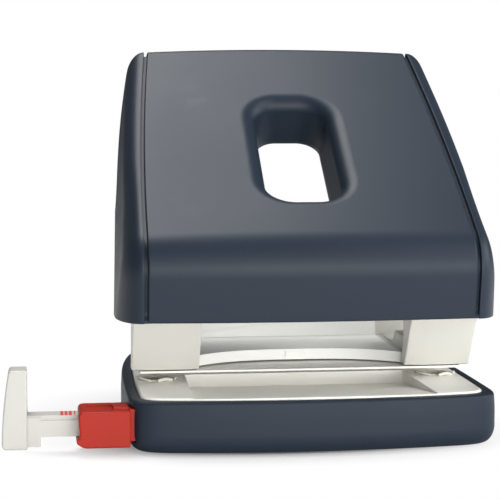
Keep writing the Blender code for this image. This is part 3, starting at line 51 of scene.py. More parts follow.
class Sock:
    # A socket whose operators add Math nodes.
    def __init__(self, tree, socket):
        self.tree, self.socket = tree, socket

    def math(self, operation, *values):
        node = self.tree.nodes.new("ShaderNodeMath")
        node.operation = operation
        for i, value in enumerate(values):
            if isinstance(value, Sock):
                self.tree.links.new(value.socket, node.inputs[i])
            else:
                node.inputs[i].default_value = value
        return Sock(self.tree, node.outputs[0])

    def __add__(self, other): return self.math("ADD", self, other)
    def __radd__(self, other): return self.math("ADD", other, self)
    def __sub__(self, other): return self.math("SUBTRACT", self, other)
    def __rsub__(self, other): return self.math("SUBTRACT", other, self)
    def __mul__(self, other): return self.math("MULTIPLY", self, other)
    def __rmul__(self, other): return self.math("MULTIPLY", other, self)
    def __truediv__(self, other): return self.math("DIVIDE", self, other)
    def __pow__(self, other): return self.math("POWER", self, other)
    def __gt__(self, other): return self.math("GREATER_THAN", self, other)
    def __lt__(self, other): return self.math("LESS_THAN", self, other)
    def clamp(self): return self.math("MINIMUM", self.math("MAXIMUM", self, 0.0), 1.0)
    def abs(self): return self.math("ABSOLUTE", self)


class Paint:
    # One material and its nodes.
    def __init__(self, name):
        self.material = bpy.data.materials.new(name)
        self.material.use_nodes = True
        self.tree = self.material.node_tree
        self.shader = self.tree.nodes["Principled BSDF"]
        self.object = self.node("TexCoord").socket("Object")

    def node(self, kind, settings=None, **inputs):
        made = self.tree.nodes.new("ShaderNode" + kind)
        for key, value in (settings or {}).items():
            if key == "stops":
                ramp = made.color_ramp
                while len(ramp.elements) < len(value):
                    ramp.elements.new(0.5)
                for element, (place, colour) in zip(ramp.elements, value):
                    element.position = place
                    element.color = (*colour, 1.0) if len(colour) == 3 else colour
            else:
                setattr(made, key, value)
        for key, value in inputs.items():
            target = made.inputs[int(key[1:])] if key[0] == "i" and key[1:].isdigit() else made.inputs[key.replace("_", " ")]
            if isinstance(value, Sock):
                self.tree.links.new(value.socket, target)
            else:
                target.default_value = value
        return Outputs(self.tree, made)

    def set(self, **inputs):
        for key, value in inputs.items():
            target = self.shader.inputs[key.replace("_", " ")]
            if isinstance(value, Sock):
                self.tree.links.new(value.socket, target)
            else:
                target.default_value = value
        return self

    def noise(self, scale, detail=4.0, rough=0.55, stretch=(1, 1, 1)):
        place = self.node("Mapping", None, Vector=self.object, Scale=tuple(scale * s for s in stretch))
        return self.node("TexNoise", None, Vector=place.first(), Scale=1.0, Detail=detail, Roughness=rough).first()

    def blend(self, factor, one, two):
        return self.node("Mix", {"data_type": "RGBA"}, i0=factor, i6=one, i7=two).socket("Result", 2)

    def bump(self, height, distance, strength=1.0):
        return self.node("Bump", None, Height=height, Distance=distance, Strength=strength).first()


class Outputs:
    def __init__(self, tree, made):
        self.tree, self.made = tree, made

    def socket(self, name, index=None):
        if index is not None:
            return Sock(self.tree, self.made.outputs[index])
        return Sock(self.tree, self.made.outputs[name])

    def first(self):
        return Sock(self.tree, self.made.outputs[0])


def srgb(r, g, b):
    # 0-255 values as they look on the screen, to linear.
    c = np.array([r, g, b]) / 255.0
    lin = np.where(c <= 0.04045, c / 12.92, ((c + 0.055) / 1.055) ** 2.4)
    return (*[float(v) for v in lin], 1.0)


def scaled(colour, k):
    return (colour[0] * k, colour[1] * k, colour[2] * k, 1.0)


def mouldedPlastic(name, colour, rough, grain, grainDepth):
    paint = Paint(name)
    tint = paint.noise(60.0, 3.0)
    fine = paint.noise(grain, 3.0, 0.6)
    scuff = paint.noise(220.0, 6.0, 0.7, (1, 6, 1))
    marks = ((scuff - 0.62) * 6.0).clamp()
    base = paint.blend(tint, scaled(colour, 0.90), scaled(colour, 1.10))
    base = paint.blend(marks * 0.25, base, scaled(colour, 1.6))
    paint.set(Base_Color=base, Roughness=rough + (tint - 0.5) * 0.14 + marks * 0.10,
              Normal=paint.bump(fine, grainDepth, 0.6), Specular_IOR_Level=0.22)
    return paint.material


def satinLacquer(name, colour):
    paint = Paint(name)
    broad = paint.noise(22.0, 2.0)
    flake = paint.noise(5200.0, 1.0, 0.5)
    peel = paint.noise(900.0, 2.0, 0.5)
    handled = paint.noise(90.0, 5.0, 0.65)
    wear = ((handled - 0.56) * 4.0).clamp()
    base = paint.blend(broad, scaled(colour, 0.94), scaled(colour, 1.06))
    base = paint.blend(((flake - 0.60) * 5.0).clamp() * 0.35, base, scaled(colour, 1.5))
    paint.set(Base_Color=base, Roughness=0.45 + (broad - 0.5) * 0.10 - wear * 0.06,
              Normal=paint.bump(peel, 0.00002, 0.35))
    paint.set(Specular_IOR_Level=0.25)
    return paint.material


def enamel(name, colour, rough=0.38, inner=None, paintedLightX=0.0):
    # Satin enamel. Within a given half width of the middle it takes the inner colour, where one is given: a lighter
    # colour painted in as light where the hood shades the middle.
    paint = Paint(name)
    broad = paint.noise(30.0, 2.0)
    peel = paint.noise(700.0, 2.0, 0.5)
    dust = paint.noise(160.0, 6.0, 0.7)
    specks = ((dust - 0.63) * 8.0).clamp()
    base = paint.blend(broad, scaled(colour, 0.96), scaled(colour, 1.02))
    # painted light: between the cheeks the colour turns to the lighter inner colour, standing in for light that the
    # hood keeps off
    if inner:
        x = paint.node("SeparateXYZ", None, Vector=paint.object).socket("X")
        away = ((x * x - (paintedLightX * mm) ** 2) * 40000.0).clamp()
        base = paint.blend(away, scaled(inner, 1.0), base)
    base = paint.blend(specks * 0.35, base, scaled(colour, 0.72))
    paint.set(Base_Color=base, Roughness=rough + (broad - 0.5) * 0.12 + specks * 0.12,
              Normal=paint.bump(peel, 0.00003, 0.4))
    return paint.material


def guidePlastic(name, colour, marks):
    # Ivory moulding with plain red ticks across the top of the bar.
    paint = Paint(name)
    broad = paint.noise(40.0, 2.0)
    fine = paint.noise(1500.0, 2.0)
    split = paint.node("SeparateXYZ", None, Vector=paint.object)
    x, z = split.socket("X"), split.socket("Z")
    mask = 0.0
    for start, end in marks["spans"]:
        mask = mask + (x > start * mm) * (x < end * mm)
    mask = (mask * (z > marks["low"] * mm) * (z < marks["high"] * mm)).clamp()
    base = paint.blend(broad, scaled(colour, 0.95), scaled(colour, 1.02))
    base = paint.blend(mask, base, marks["colour"])
    paint.set(Base_Color=base, Roughness=0.46 + (broad - 0.5) * 0.15, Normal=paint.bump(fine, 0.00002, 0.4))
    return paint.material


def workedSteel(name, colour, rough, stretch):
    paint = Paint(name)
    lines = paint.noise(1400.0, 3.0, 0.6, stretch)
    cloud = paint.noise(120.0, 4.0)
    stain = ((cloud - 0.58) * 5.0).clamp()
    base = paint.blend(cloud, scaled(colour, 0.88), scaled(colour, 1.05))
    paint.set(Base_Color=base, Metallic=1.0, Roughness=rough + (lines - 0.5) * 0.18 + stain * 0.12,
              Normal=paint.bump(lines, 0.00002, 0.35))
    return paint.material


def rubber(name, colour):
    paint = Paint(name)
    grain = paint.noise(2600.0, 3.0, 0.7)
    broad = paint.noise(80.0, 3.0)
    base = paint.blend(broad, scaled(colour, 0.8), scaled(colour, 1.3))
    paint.set(Base_Color=base, Roughness=0.82 + (grain - 0.5) * 0.15, Normal=paint.bump(grain, 0.00008, 0.8))
    return paint.material


redTicks = {"spans": [(-67.5, -66.7), (-66.4, -65.6), (-65.3, -64.5), (-63.9, -63.6)], "low": 10.5, "high": 11.0,
            "colour": srgb(200, 60, 45)}
looks = {
    "tub": mouldedPlastic("tubPlastic", srgb(27, 37, 49), 0.50, 1800.0, 0.00003),
    "hood": satinLacquer("hoodLacquer", srgb(27, 37, 49)),
    "cap": satinLacquer("capLacquer", srgb(27, 37, 49)),
    # ivory: one off-white paint, darker on the cheeks and lighter between them; the lighter middle is painted light
    "ivory": enamel("ivoryEnamel", srgb(208, 207, 199), 0.38, srgb(244, 244, 239), 28.8),
    # plate: off-white set lighter than the cheeks' colour to make up for the shade it lies in under the hood, painted
    # light
    "plate": enamel("plateEnamel", srgb(243, 242, 235), 0.34),
    "die": enamel("dieNickel", srgb(214, 213, 202), 0.30),
    "guide": guidePlastic("guidePlastic", srgb(184, 183, 177), redTicks),
    "red": mouldedPlastic("redSleevePlastic", srgb(153, 28, 8), 0.40, 2200.0, 0.00002),
    "steel": workedSteel("turnedSteel", srgb(196, 197, 200), 0.28, (0.15, 1, 1)),
    "pressed": workedSteel("pressedSteel", srgb(178, 180, 184), 0.36, (1, 1, 0.1)),
    "zinc": workedSteel("zincScrew", srgb(186, 186, 182), 0.34, (1, 1, 1)),
    "spring": workedSteel("springSteel", srgb(170, 171, 174), 0.26, (1, 1, 1)),
    "mat": rubber("matRubber", srgb(38, 39, 41)),
}
print("materials made")


def addPiece(name, verts, faces, look, body, replaces=(), sharpDeg=40):
    mesh = bpy.data.meshes.new(name)
    mesh.from_pydata([tuple(v) for v in verts], [], [tuple(f) for f in faces])
    mesh.update()
    bm = bmesh.new()
    bm.from_mesh(mesh)
    bmesh.ops.remove_doubles(bm, verts=bm.verts, dist=1e-6)
    bmesh.ops.recalc_face_normals(bm, faces=bm.faces)
    bm.to_mesh(mesh)
    bm.free()
    mesh.shade_smooth()
    mesh.set_sharp_from_angle(angle=math.radians(sharpDeg))
    mesh.materials.append(looks[look])
    piece = bpy.data.objects.new(name, mesh)
    scene.collection.objects.link(piece)
    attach(piece, body)
    if replaces:
        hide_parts(*replaces)
    return piece


def gridFaces(rows, cols, wrapRows=False, wrapCols=False):
    # Quads of a rows x cols grid of points, row by row, with either way closed on itself.
    r = np.arange(rows if wrapRows else rows - 1)
    c = np.arange(cols if wrapCols else cols - 1)
    i, j = np.meshgrid(r, c, indexing="ij")
    i2, j2 = (i + 1) % rows, (j + 1) % cols
    return np.stack([i * cols + j, i * cols + j2, i2 * cols + j2, i2 * cols + j], axis=-1).reshape(-1, 4)


def applyModifiers(piece):
    # The modifiers' result becomes the piece's own mesh.
    depsgraph = bpy.context.evaluated_depsgraph_get()
    depsgraph.update()
    mesh = bpy.data.meshes.new_from_object(piece.evaluated_get(depsgraph))
    old = piece.data
    piece.modifiers.clear()
    piece.data = mesh
    bpy.data.meshes.remove(old)
    return piece


def cutWith(piece, verts, faces):
    # Takes a closed block off a piece.
    bm = bmesh.new()
    points = [bm.verts.new(v) for v in verts]
    for face in faces:
        bm.faces.new([points[i] for i in face])
    bmesh.ops.recalc_face_normals(bm, faces=bm.faces)
    mesh = bpy.data.meshes.new("cutter")
    bm.to_mesh(mesh)
    bm.free()
    cutter = bpy.data.objects.new("cutter", mesh)
    scene.collection.objects.link(cutter)
    step = piece.modifiers.new("cut", "BOOLEAN")
    step.operation, step.solver, step.object = "DIFFERENCE", "EXACT", cutter
    applyModifiers(piece)
    bpy.data.objects.remove(cutter, do_unlink=True)
    return piece


def cutPrism(piece, section, low, high):
    # A (y, z) section run along X from low to high.
    n = len(section)
    verts = [(x * mm, y * mm, z * mm) for x in (low, high) for y, z in section]
    faces = [tuple(range(n)), tuple(range(n, 2 * n))] + [(k, (k + 1) % n, n + (k + 1) % n, n + k) for k in range(n)]
    return cutWith(piece, verts, faces)


def cutBox(piece, low, high):
    (x0, y0, z0), (x1, y1, z1) = low, high
    return cutPrism(piece, [(y0, z0), (y1, z0), (y1, z1), (y0, z1)], x0, x1)


def smoothCopy(nodeName, look, body, bevel=0.0, sharpDeg=35, name=None):
    # A merged copy of a CAD node, shaded smooth, with its edges broken by a small bevel.
    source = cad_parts[nodeName]
    mesh = source.data.copy()
    bm = bmesh.new()
    bm.from_mesh(mesh)
    bmesh.ops.remove_doubles(bm, verts=bm.verts, dist=2e-6)
    bmesh.ops.dissolve_limit(bm, angle_limit=math.radians(0.5), verts=bm.verts, edges=bm.edges)
    bm.to_mesh(mesh)
    bm.free()
    mesh.materials.clear()
    mesh.materials.append(looks[look])
    mesh.shade_smooth()
    mesh.set_sharp_from_angle(angle=math.radians(sharpDeg))
    piece = bpy.data.objects.new(name or nodeName.replace("_", "") + "Smooth", mesh)
    scene.collection.objects.link(piece)
    if bevel > 0.0:
        step = piece.modifiers.new("edges", "BEVEL")
        step.width, step.segments, step.limit_method = bevel * mm, 2, "ANGLE"
        step.angle_limit = math.radians(38)
        step.harden_normals = False
        step.use_clamp_overlap = True
    piece.modifiers.new("faceNormals", "WEIGHTED_NORMAL").keep_sharp = True
    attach(piece, body)
    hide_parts(nodeName)
    return piece


def roundedPath(corners, radii, straight=12, bend=14):
    # Dense points along a path of straight runs whose inner corners are arcs of given radii.
    corners = [np.array(c, float) for c in corners]
    points = [corners[0]]
    for before, corner, after, radius in zip(corners, corners[1:], corners[2:], radii):
        a = (before - corner) / np.linalg.norm(before - corner)
        b = (after - corner) / np.linalg.norm(after - corner)
        half = 0.5 * math.acos(float(a @ b))
        reach = radius / math.tan(half)
        centre = corner + (a + b) / np.linalg.norm(a + b) * radius / math.sin(half)
        start, end = corner + a * reach - centre, corner + b * reach - centre
        total = math.acos(float(start @ end) / radius ** 2)
        turn = 1.0 if start[0] * end[1] - start[1] * end[0] > 0 else -1.0
        angle = np.linspace(0.0, total * turn, bend)
        arc = np.stack([start[0] * np.cos(angle) - start[1] * np.sin(angle),
                        start[0] * np.sin(angle) + start[1] * np.cos(angle)], axis=1) + centre
        run = points[-1] + (arc[0] - points[-1]) * np.linspace(0, 1, straight)[1:-1, None]
        points += list(run) + list(arc)
    run = points[-1] + (corners[-1] - points[-1]) * np.linspace(0, 1, straight)[1:, None]
    return np.array(points + list(run))


def tubeAlong(path, radius, sides=10, closed=False):
    # Points of a round tube: each ring stands square to the path's direction.
    path = np.array(path)
    tangent = np.gradient(path, axis=0)
    tangent /= np.linalg.norm(tangent, axis=1)[:, None]
    up = np.tile([0.0, 0.0, 1.0], (len(path), 1))
    side = np.cross(tangent, up)
    side /= np.linalg.norm(side, axis=1)[:, None]
    other = np.cross(side, tangent)
    t = np.linspace(0, 2 * np.pi, sides, endpoint=False)
    ring = side[:, None] * np.cos(t)[None, :, None] + other[:, None] * np.sin(t)[None, :, None]
    verts = (path[:, None] + radius * ring).reshape(-1, 3)
    faces = [list(f) for f in gridFaces(len(path), sides, False, True)]
    faces += [list(range(sides))[::-1], list(range((len(path) - 1) * sides, len(path) * sides))]
    return verts, faces


hood = {"rear": (35.2, 98.4), "top": (28.0, 105.4), "slopeDeg": 36.24, "topRadius": 3.0, "bendY": -43.5,
        "lip": (-40.2, 33.9), "bendRadius": 12.0, "wall": 2.2, "grooveLip": 44.3, "grooveTop": 40.1,
        "grooveBow": 51.4, "grooveWidth": 1.0, "edge": 0.5, "flankLip": 52.4, "flankLean": 0.10,
        "bulge": 0.8, "bulgeZ": 85.0, "bulgeReach": 26.0, "crown": 0.95, "lapRoot": 1.0, "lapReach": 0.95,
        "lapDepth": 1.35, "bossX": 22.4, "bossAlong": 54.0, "cornerLip": 16.0, "cornerTop": 6.0, "cornerTurn": 76.4,
        "flankFront": (-18.0, 33.9), "flankRear": (31.0, 59.4)}
grip = {"along": 44.7, "halfLength": 21.7, "halfWidth": 10.6, "corner": 7.6, "depth": 14.0, "round": 4.6,
        "taper": 1.1, "collar": 2.2, "x": 0.5}


def hoodPath():
    slope = math.tan(math.radians(hood["slopeDeg"]))
    topY, topZ = hood["top"]
    corner = (hood["rear"][0], topZ + (hood["rear"][0] - topY) * slope)
    bend = (hood["bendY"], topZ + (hood["bendY"] - topY) * slope)
    return roundedPath([hood["rear"], corner, bend, hood["lip"]], [hood["topRadius"], hood["bendRadius"]], 40, 24)


hoodLine = hoodPath()
hoodS = np.concatenate([[0.0], np.cumsum(np.linalg.norm(np.diff(hoodLine, axis=0), axis=1))])
gripS = float(np.interp(-hood["top"][0], -hoodLine[14:, 0], hoodS[14:])) + grip["along"]


def hoodPoint(x, s, depth):
    # A point of the hood from its place across, its length along the side view and its depth inwards.
    y, z = np.interp(s, hoodS, hoodLine[:, 0]), np.interp(s, hoodS, hoodLine[:, 1])
    h = 0.4
    ahead, behind = np.clip(s + h, 0, hoodS[-1]), np.clip(s - h, 0, hoodS[-1])
    dy = np.interp(ahead, hoodS, hoodLine[:, 0]) - np.interp(behind, hoodS, hoodLine[:, 0])
    dz = np.interp(ahead, hoodS, hoodLine[:, 1]) - np.interp(behind, hoodS, hoodLine[:, 1])
    length = np.hypot(dy, dz)
    ny, nz = -dz / length, dy / length  # inwards
    share = np.clip(np.abs(x) / grooveX(z), 0.0, 1.0)
    fade = np.clip(1.0 - (depth - 6.0) / 8.0, 0.0, 1.0)
    sunk = depth - hood["crown"] * (1.0 - share ** 2) * fade
    return np.stack([x, y + ny * sunk, z + nz * sunk], axis=-1)


def grooveX(z):
    # Half width of the main shell: straight at the lip, drawn in as a parabola towards the top.
    share = np.clip((z - hood["grooveBow"]) / (hood["top"][1] - hood["grooveBow"]), 0.0, None)
    return hood["grooveLip"] - (hood["grooveLip"] - hood["grooveTop"]) * share ** 2


def flankX(z):
    away = np.clip(np.abs(z - hood["bulgeZ"]) / hood["bulgeReach"], 0.0, 1.0)
    return hood["flankLip"] - hood["flankLean"] * (z - hood["lip"][1]) + hood["bulge"] * (1.0 - away ** 2) ** 2


def gripRing(grow, angles):
    # Points (across, along) of the grip hole's outline, a rectangle with round corners, at stretched angles.
    a, b, r = grip["halfWidth"] + grow, grip["halfLength"] + grow, grip["corner"] + grow
    t = np.linspace(0, np.pi / 2, 40)
    parts = []
    for sx, sy, start in ((1, 1, 0), (-1, 1, 1), (-1, -1, 2), (1, -1, 3)):
        q = t + start * np.pi / 2
        parts.append(np.stack([sx * (a - r) + r * np.cos(q), sy * (b - r) + r * np.sin(q)], axis=1))
    loop = np.concatenate(parts)
    loop = np.concatenate([loop, loop[:1]])
    fine = np.concatenate([loop[:-1] + (loop[1:] - loop[:-1]) * k for k in np.linspace(0, 1, 8, endpoint=False)])
    phi = np.arctan2(fine[:, 1] / b, fine[:, 0] / a)
    order = np.argsort(phi)
    return np.stack([np.interp(angles, phi[order], fine[order, 0], period=2 * np.pi),
                     np.interp(angles, phi[order], fine[order, 1], period=2 * np.pi)], axis=1)


def buildHood():
    end = hoodS[-1]
    e = hood["edge"]
    side, across = np.linspace(0, 1, 150, endpoint=False), np.linspace(0, 1, 90, endpoint=False)
    s = np.concatenate([e + (end - 2 * e) * side, np.full(90, end - e), end - e - (end - 2 * e) * side, np.full(90, e)])
    z = np.interp(s, hoodS, hoodLine[:, 1])
    half = grooveX(z) - e
    x = np.concatenate([half[:150], half[150:240] * (1 - 2 * across), -half[240:390], -half[390:] * (1 - 2 * across)])
    outward = np.stack([np.concatenate([np.ones(150), 1 - 2 * across, -np.ones(150), 2 * across - 1]),
                        np.concatenate([2 * side - 1, np.ones(90), 1 - 2 * side, -np.ones(90)])], axis=1)
    isSide = np.concatenate([np.ones(150), np.zeros(90), np.ones(150), np.zeros(90)]).astype(bool)
    push = np.where(isSide[:, None], outward * [1, 0], outward * [0, 1])
    corner = [0, 150, 240, 390]
    push[corner] = [[1, -1], [1, 1], [-1, 1], [-1, -1]]
    gx, gs = grip["x"], gripS
    reach = np.where(s > gs, end - gs, gs)
    angles = np.arctan2((s - gs) / reach, x / half)
    outer = np.stack([x, s], axis=1)
    rows = []

    def ring(grow, depth):
        flat = gripRing(grow, angles) + [gx, gs]
        rows.append(hoodPoint(flat[:, 0], flat[:, 1], np.full(len(flat), depth)))

    def span(grow, depth, shares):
        inner = gripRing(grow, angles) + [gx, gs]
        for q in shares:
            flat = inner + (outer - inner) * q
            rows.append(hoodPoint(flat[:, 0], flat[:, 1], np.full(len(flat), depth)))

    def rim(out, depth):
        flat = outer + push * out
        rows.append(hoodPoint(flat[:, 0], flat[:, 1], np.full(len(flat), depth)))

    r = grip["round"]
    low = grip["depth"] - 0.6
    for d in np.linspace(low, r, 8)[:-1]:
        ring(-grip["taper"] * (d - r) / (low - r), d)
    for q in np.linspace(np.pi / 2, 0, 14):
        ring(r * (1 - math.sin(q)), r * (1 - math.cos(q)))
    span(r, 0.0, np.linspace(0, 1, 110)[1:])
    for q in np.linspace(0, np.pi / 2, 5)[1:]:
        rim(e * math.sin(q), e * (1 - math.cos(q)))
    wall = hood["wall"]
    for q in np.linspace(0, np.pi / 2, 4):
        rim(e * math.cos(q), wall - e + e * math.sin(q))
    span(r + grip["collar"], wall, np.linspace(1, 0, 50)[1:])
    for q in np.linspace(0, np.pi / 2, 8)[1:]:
        ring(grip["collar"] + r * (1 - math.sin(q)), wall + r * (1 - math.cos(q)))
    ring(grip["collar"] - grip["taper"], low)
    for q in np.linspace(0, np.pi, 7)[1:-1]:
        ring(grip["collar"] * 0.5 * (1 + math.cos(q)) - grip["taper"], low + 0.6 * math.sin(q))
    verts = np.stack(rows) * mm
    n, m = verts.shape[:2]
    faces = gridFaces(n, m, True, True)
    return addPiece("hoodShell", verts.reshape(-1, 3), faces, "hood", "lever", ["lever_cover"], 50)


def buildCap(sign, label):
    # Ruled strips run from the groove edge to the flank's foot line, turning a quarter circle on the way.
    end = hoodS[-1]
    s = np.linspace(0, end, 170)
    y, z = np.interp(s, hoodS, hoodLine[:, 0]), np.interp(s, hoodS, hoodLine[:, 1])
    share = (s / end)[:, None]
    foot = np.array(hood["flankRear"]) * (1 - share) + np.array(hood["flankFront"]) * share
    start = np.stack([y, z], axis=1)
    run = foot - start
    length = np.linalg.norm(run, axis=1)
    ahead = run / length[:, None]
    k = np.clip((z - hood["lip"][1]) / (hood["cornerTurn"] - hood["lip"][1]), 0, 1)
    deep = np.minimum(hood["cornerLip"] + (hood["cornerTop"] - hood["cornerLip"]) * k, length)
    lean = np.linspace(0, np.pi / 2, 18)
    yz = start[:, None] + ahead[:, None] * (deep[:, None] * (1 - np.cos(lean)))[..., None]
    groove = (grooveX(z) + hood["grooveWidth"])[:, None]
    x = groove + (flankX(yz[..., 1]) - groove) * np.sin(lean)
    turn = np.concatenate([x[..., None], yz], axis=-1)
    down = np.linspace(0, 1, 24)[1:]
    yz = start[:, None] + ahead[:, None] * (deep[:, None] + (length - deep)[:, None] * down)[..., None]
    flank = np.concatenate([flankX(yz[..., 1])[..., None], yz], axis=-1)
    grid = np.concatenate([turn, flank], axis=1)
    grid[..., 0] *= sign
    n, m = grid.shape[:2]
    faces = gridFaces(n, m)
    if sign > 0:
        faces = faces[:, ::-1]
    piece = addPiece("cap" + label, grid.reshape(-1, 3) * mm, faces, "cap", "lever", [f"side_cap_{label.lower()}"], 50)
    middle = piece.data.polygons[len(piece.data.polygons) // 2]
    if middle.normal.x * sign < 0:
        piece.data.flip_normals()
    wall = piece.modifiers.new("wall", "SOLIDIFY")
    wall.thickness, wall.offset, wall.use_even_offset = hood["wall"] * mm, -1.0, True
    edge = piece.modifiers.new("edge", "BEVEL")
    edge.width, edge.segments, edge.limit_method, edge.angle_limit = 0.4 * mm, 3, "ANGLE", math.radians(50)
    applyModifiers(piece)
    piece.data.shade_smooth()
    piece.data.set_sharp_from_angle(angle=math.radians(50))
    return piece


def buildLap(sign, label):
    # A strip under the face that closes the groove between the main shell and a side cap.
    s = np.linspace(0.4, hoodS[-1] - 0.05, 160)
    edge = grooveX(np.interp(s, hoodS, hoodLine[:, 1]))
    loop = ((-hood["lapRoot"], hood["lapDepth"]), (hood["lapReach"], hood["lapDepth"]),
            (hood["lapReach"], hood["wall"]), (-hood["lapRoot"], hood["wall"]))
    under = np.clip((s - (hoodS[-1] - 2.0)) / 1.2, 0, 1)
    rows = [hoodPoint(sign * (edge + out), s, depth + (0.2 - depth) * under * (depth == hood["lapDepth"]))
            for out, depth in loop]
    grid = np.stack(rows, axis=1)
    n = len(s)
    faces = [list(f) for f in gridFaces(n, 4, False, True)] + [[3, 2, 1, 0], list(range(4 * n - 4, 4 * n))]
    return addPiece("hoodLap" + label, grid.reshape(-1, 3) * mm, faces, "hood", "lever")


def buildBoss(sign, label):
    # A screw boss under the panel: a section of (depth, radius) points spun about the screw's axis.
    a = math.radians(hood["slopeDeg"])
    down, inward = np.array([0, -math.cos(a), -math.sin(a)]), np.array([0, math.sin(a), -math.cos(a)])
    middle = np.array([sign * hood["bossX"], *hood["top"]]) + down * hood["bossAlong"]
    section = np.array([(1.9, 1.6), (1.9, 4.0), (2.6, 3.3), (3.2, 3.2), (5.9, 3.2), (6.2, 2.9), (6.2, 1.6)])
    t = np.linspace(0, 2 * np.pi, 40, endpoint=False)
    ring = np.cos(t)[:, None] * np.array([1.0, 0, 0]) + np.sin(t)[:, None] * down
    grid = middle + section[:, :1, None] * inward + section[:, 1:, None] * ring
    return addPiece("coverBoss" + label, grid.reshape(-1, 3) * mm, gridFaces(len(section), 40, True, True), "hood", "lever")


buildHood()
for sign, label in ((-1, "Left"), (1, "Right")):
    buildLap(sign, label)
    buildBoss(sign, label)
    buildCap(sign, label)
print("hood made")


tub = {"half": 49.9, "front": -51.0, "rear": 51.5, "widest": -22.0, "draw": 7.3, "power": 3, "frontBow": 4.0,
       "rearBow": 2.0, "frontRadius": 7.5, "rearRadius": 13.5, "bottom": 0.4, "top": 14.3, "rollHeight": 5.0,
       "rollInset": 3.0, "flankZ": 9.2, "flankDraw": 0.2, "rim": 0.9, "wall": 2.4, "floor": 2.2,
       "plateInset": 3.4, "gap": 0.3, "ledge": 1.8, "plateTop": 14.7, "plateThick": 1.6, "seatRear": 48.4}


def tubHalf(y, inset):
    share = (y - tub["widest"]) / (tub["rear"] - tub["widest"])
    return tub["half"] - inset - tub["draw"] * np.abs(share) ** tub["power"]


def tubOutline(inset, rearY=None):
    # Plan of the tub drawn in by an inset: bowed ends, bulged sides and an arc at each corner.
    front = tub["front"] + inset
    rear = tub["rear"] - inset if rearY is None else rearY
    low, high = front + tub["frontBow"], rear - tub["rearBow"]
    frontX, rearX = tubHalf(low, inset), tubHalf(high, inset)
    fr, rr = max(tub["frontRadius"] - 0.5 * inset, 1.2), max(tub["rearRadius"] - inset, 1.2)
    f = np.linspace(-0.8, 0.8, 41)
    frontEdge = np.stack([frontX * f, front + tub["frontBow"] * f ** 2], axis=1)
    g = np.linspace(0.72, -0.72, 41)
    rearEdge = np.stack([rearX * g, rear - tub["rearBow"] * g ** 2], axis=1)
    y = np.linspace(low + fr + 1.5, high - rr - 1.0, 41)
    right = np.stack([tubHalf(y, inset), y], axis=1)
    left = np.stack([-right[::-1, 0], right[::-1, 1]], axis=1)

    def join(a, corner, b, steps=18):
        # A quadratic curve pulled to the corner, which leaves both edges along their own direction.
        t = np.linspace(0, 1, steps + 2)[1:-1, None]
        w = 1.35
        den = (1 - t) ** 2 + 2 * w * t * (1 - t) + t ** 2
        return ((1 - t) ** 2 * a + 2 * w * t * (1 - t) * corner + t ** 2 * b) / den

    def meet(p, dp, q, dq):
        k = np.linalg.solve(np.stack([dp, -dq], axis=1), q - p)
        return p + dp * k[0]

    def bridge(first, second):
        dp, dq = first[-1] - first[-2], second[0] - second[1]
        return join(first[-1], meet(first[-1], dp, second[0], dq), second[0])

    return np.concatenate([frontEdge, bridge(frontEdge, right), right, bridge(right, rearEdge), rearEdge,
                           bridge(rearEdge, left), left, bridge(left, frontEdge)])


def buildTub():
    # Stacked outlines from the mat pocket's rim, round the outside and down inside to the floor.
    rows = []

    def ring(inset, z, rearY=None):
        outline = tubOutline(inset, rearY)
        rows.append(np.column_stack([outline, np.full(len(outline), z)]))

    b, rise, draw = tub["bottom"], tub["rollHeight"], tub["rollInset"]
    ring(8.7, b + 1.1)
    ring(8.7, b)
    ring(draw + 0.8, b)
    for q in np.radians(np.linspace(90, 0, 14)):
        ring(draw * (1 - math.cos(q)), b + rise * (1 - math.sin(q)))
    for k in np.linspace(0, 1, 5)[1:]:
        ring(0.0, b + rise + (tub["flankZ"] - b - rise) * k)
    for k in np.linspace(0, 1, 9)[1:]:
        ring(tub["flankDraw"] * k ** 1.5, tub["flankZ"] + (tub["top"] - tub["rim"] - tub["flankZ"]) * k)
    for q in np.radians(np.linspace(0, 90, 9))[1:]:
        ring(tub["flankDraw"] + tub["rim"] * (1 - math.cos(q)), tub["top"] - tub["rim"] * (1 - math.sin(q)))
    seat = tub["plateInset"] - tub["gap"]
    ring(seat - 0.35, tub["top"] - 0.02, tub["seatRear"] + 0.35)
    ring(seat - 0.1, tub["top"] - 0.12, tub["seatRear"] + 0.1)
    ring(seat, tub["top"] - 0.4, tub["seatRear"])
    ledgeZ = tub["plateTop"] - tub["plateThick"] - tub["gap"]
    ring(seat, ledgeZ, tub["seatRear"])
    ring(seat + tub["ledge"], ledgeZ)
    ring(seat + tub["ledge"], ledgeZ - 1.6)
    ring(tub["wall"], ledgeZ - 3.2)
    floor = b + tub["floor"]
    ring(tub["wall"], floor + 1.6)
    for q in np.linspace(0, 90, 6)[1:]:
        ring(tub["wall"] + 1.6 * (1 - math.cos(math.radians(q))), floor + 1.6 * (1 - math.sin(math.radians(q))))
    verts = np.stack(rows)
    n, m = verts.shape[:2]
    faces = [list(f) for f in gridFaces(n, m, False, True)]
    faces += [list(range(m))[::-1], list(range((n - 1) * m, n * m))]
    piece = addPiece("chipTub", verts.reshape(-1, 3) * mm, faces, "tub", "tray", ["chip_tray"], 50)
    cutBox(piece, (-62.0, -44.7, 3.2), (-42.9, -34.8, 12.4))
    for side in (-1, 1):
        low, high = sorted((side * 19.7, side * 28.3))
        cutBox(piece, (low, 44.2, 11.1), (high, 55.0, 18.0))
    piece.data.shade_smooth()
    piece.data.set_sharp_from_angle(angle=math.radians(50))
    return piece


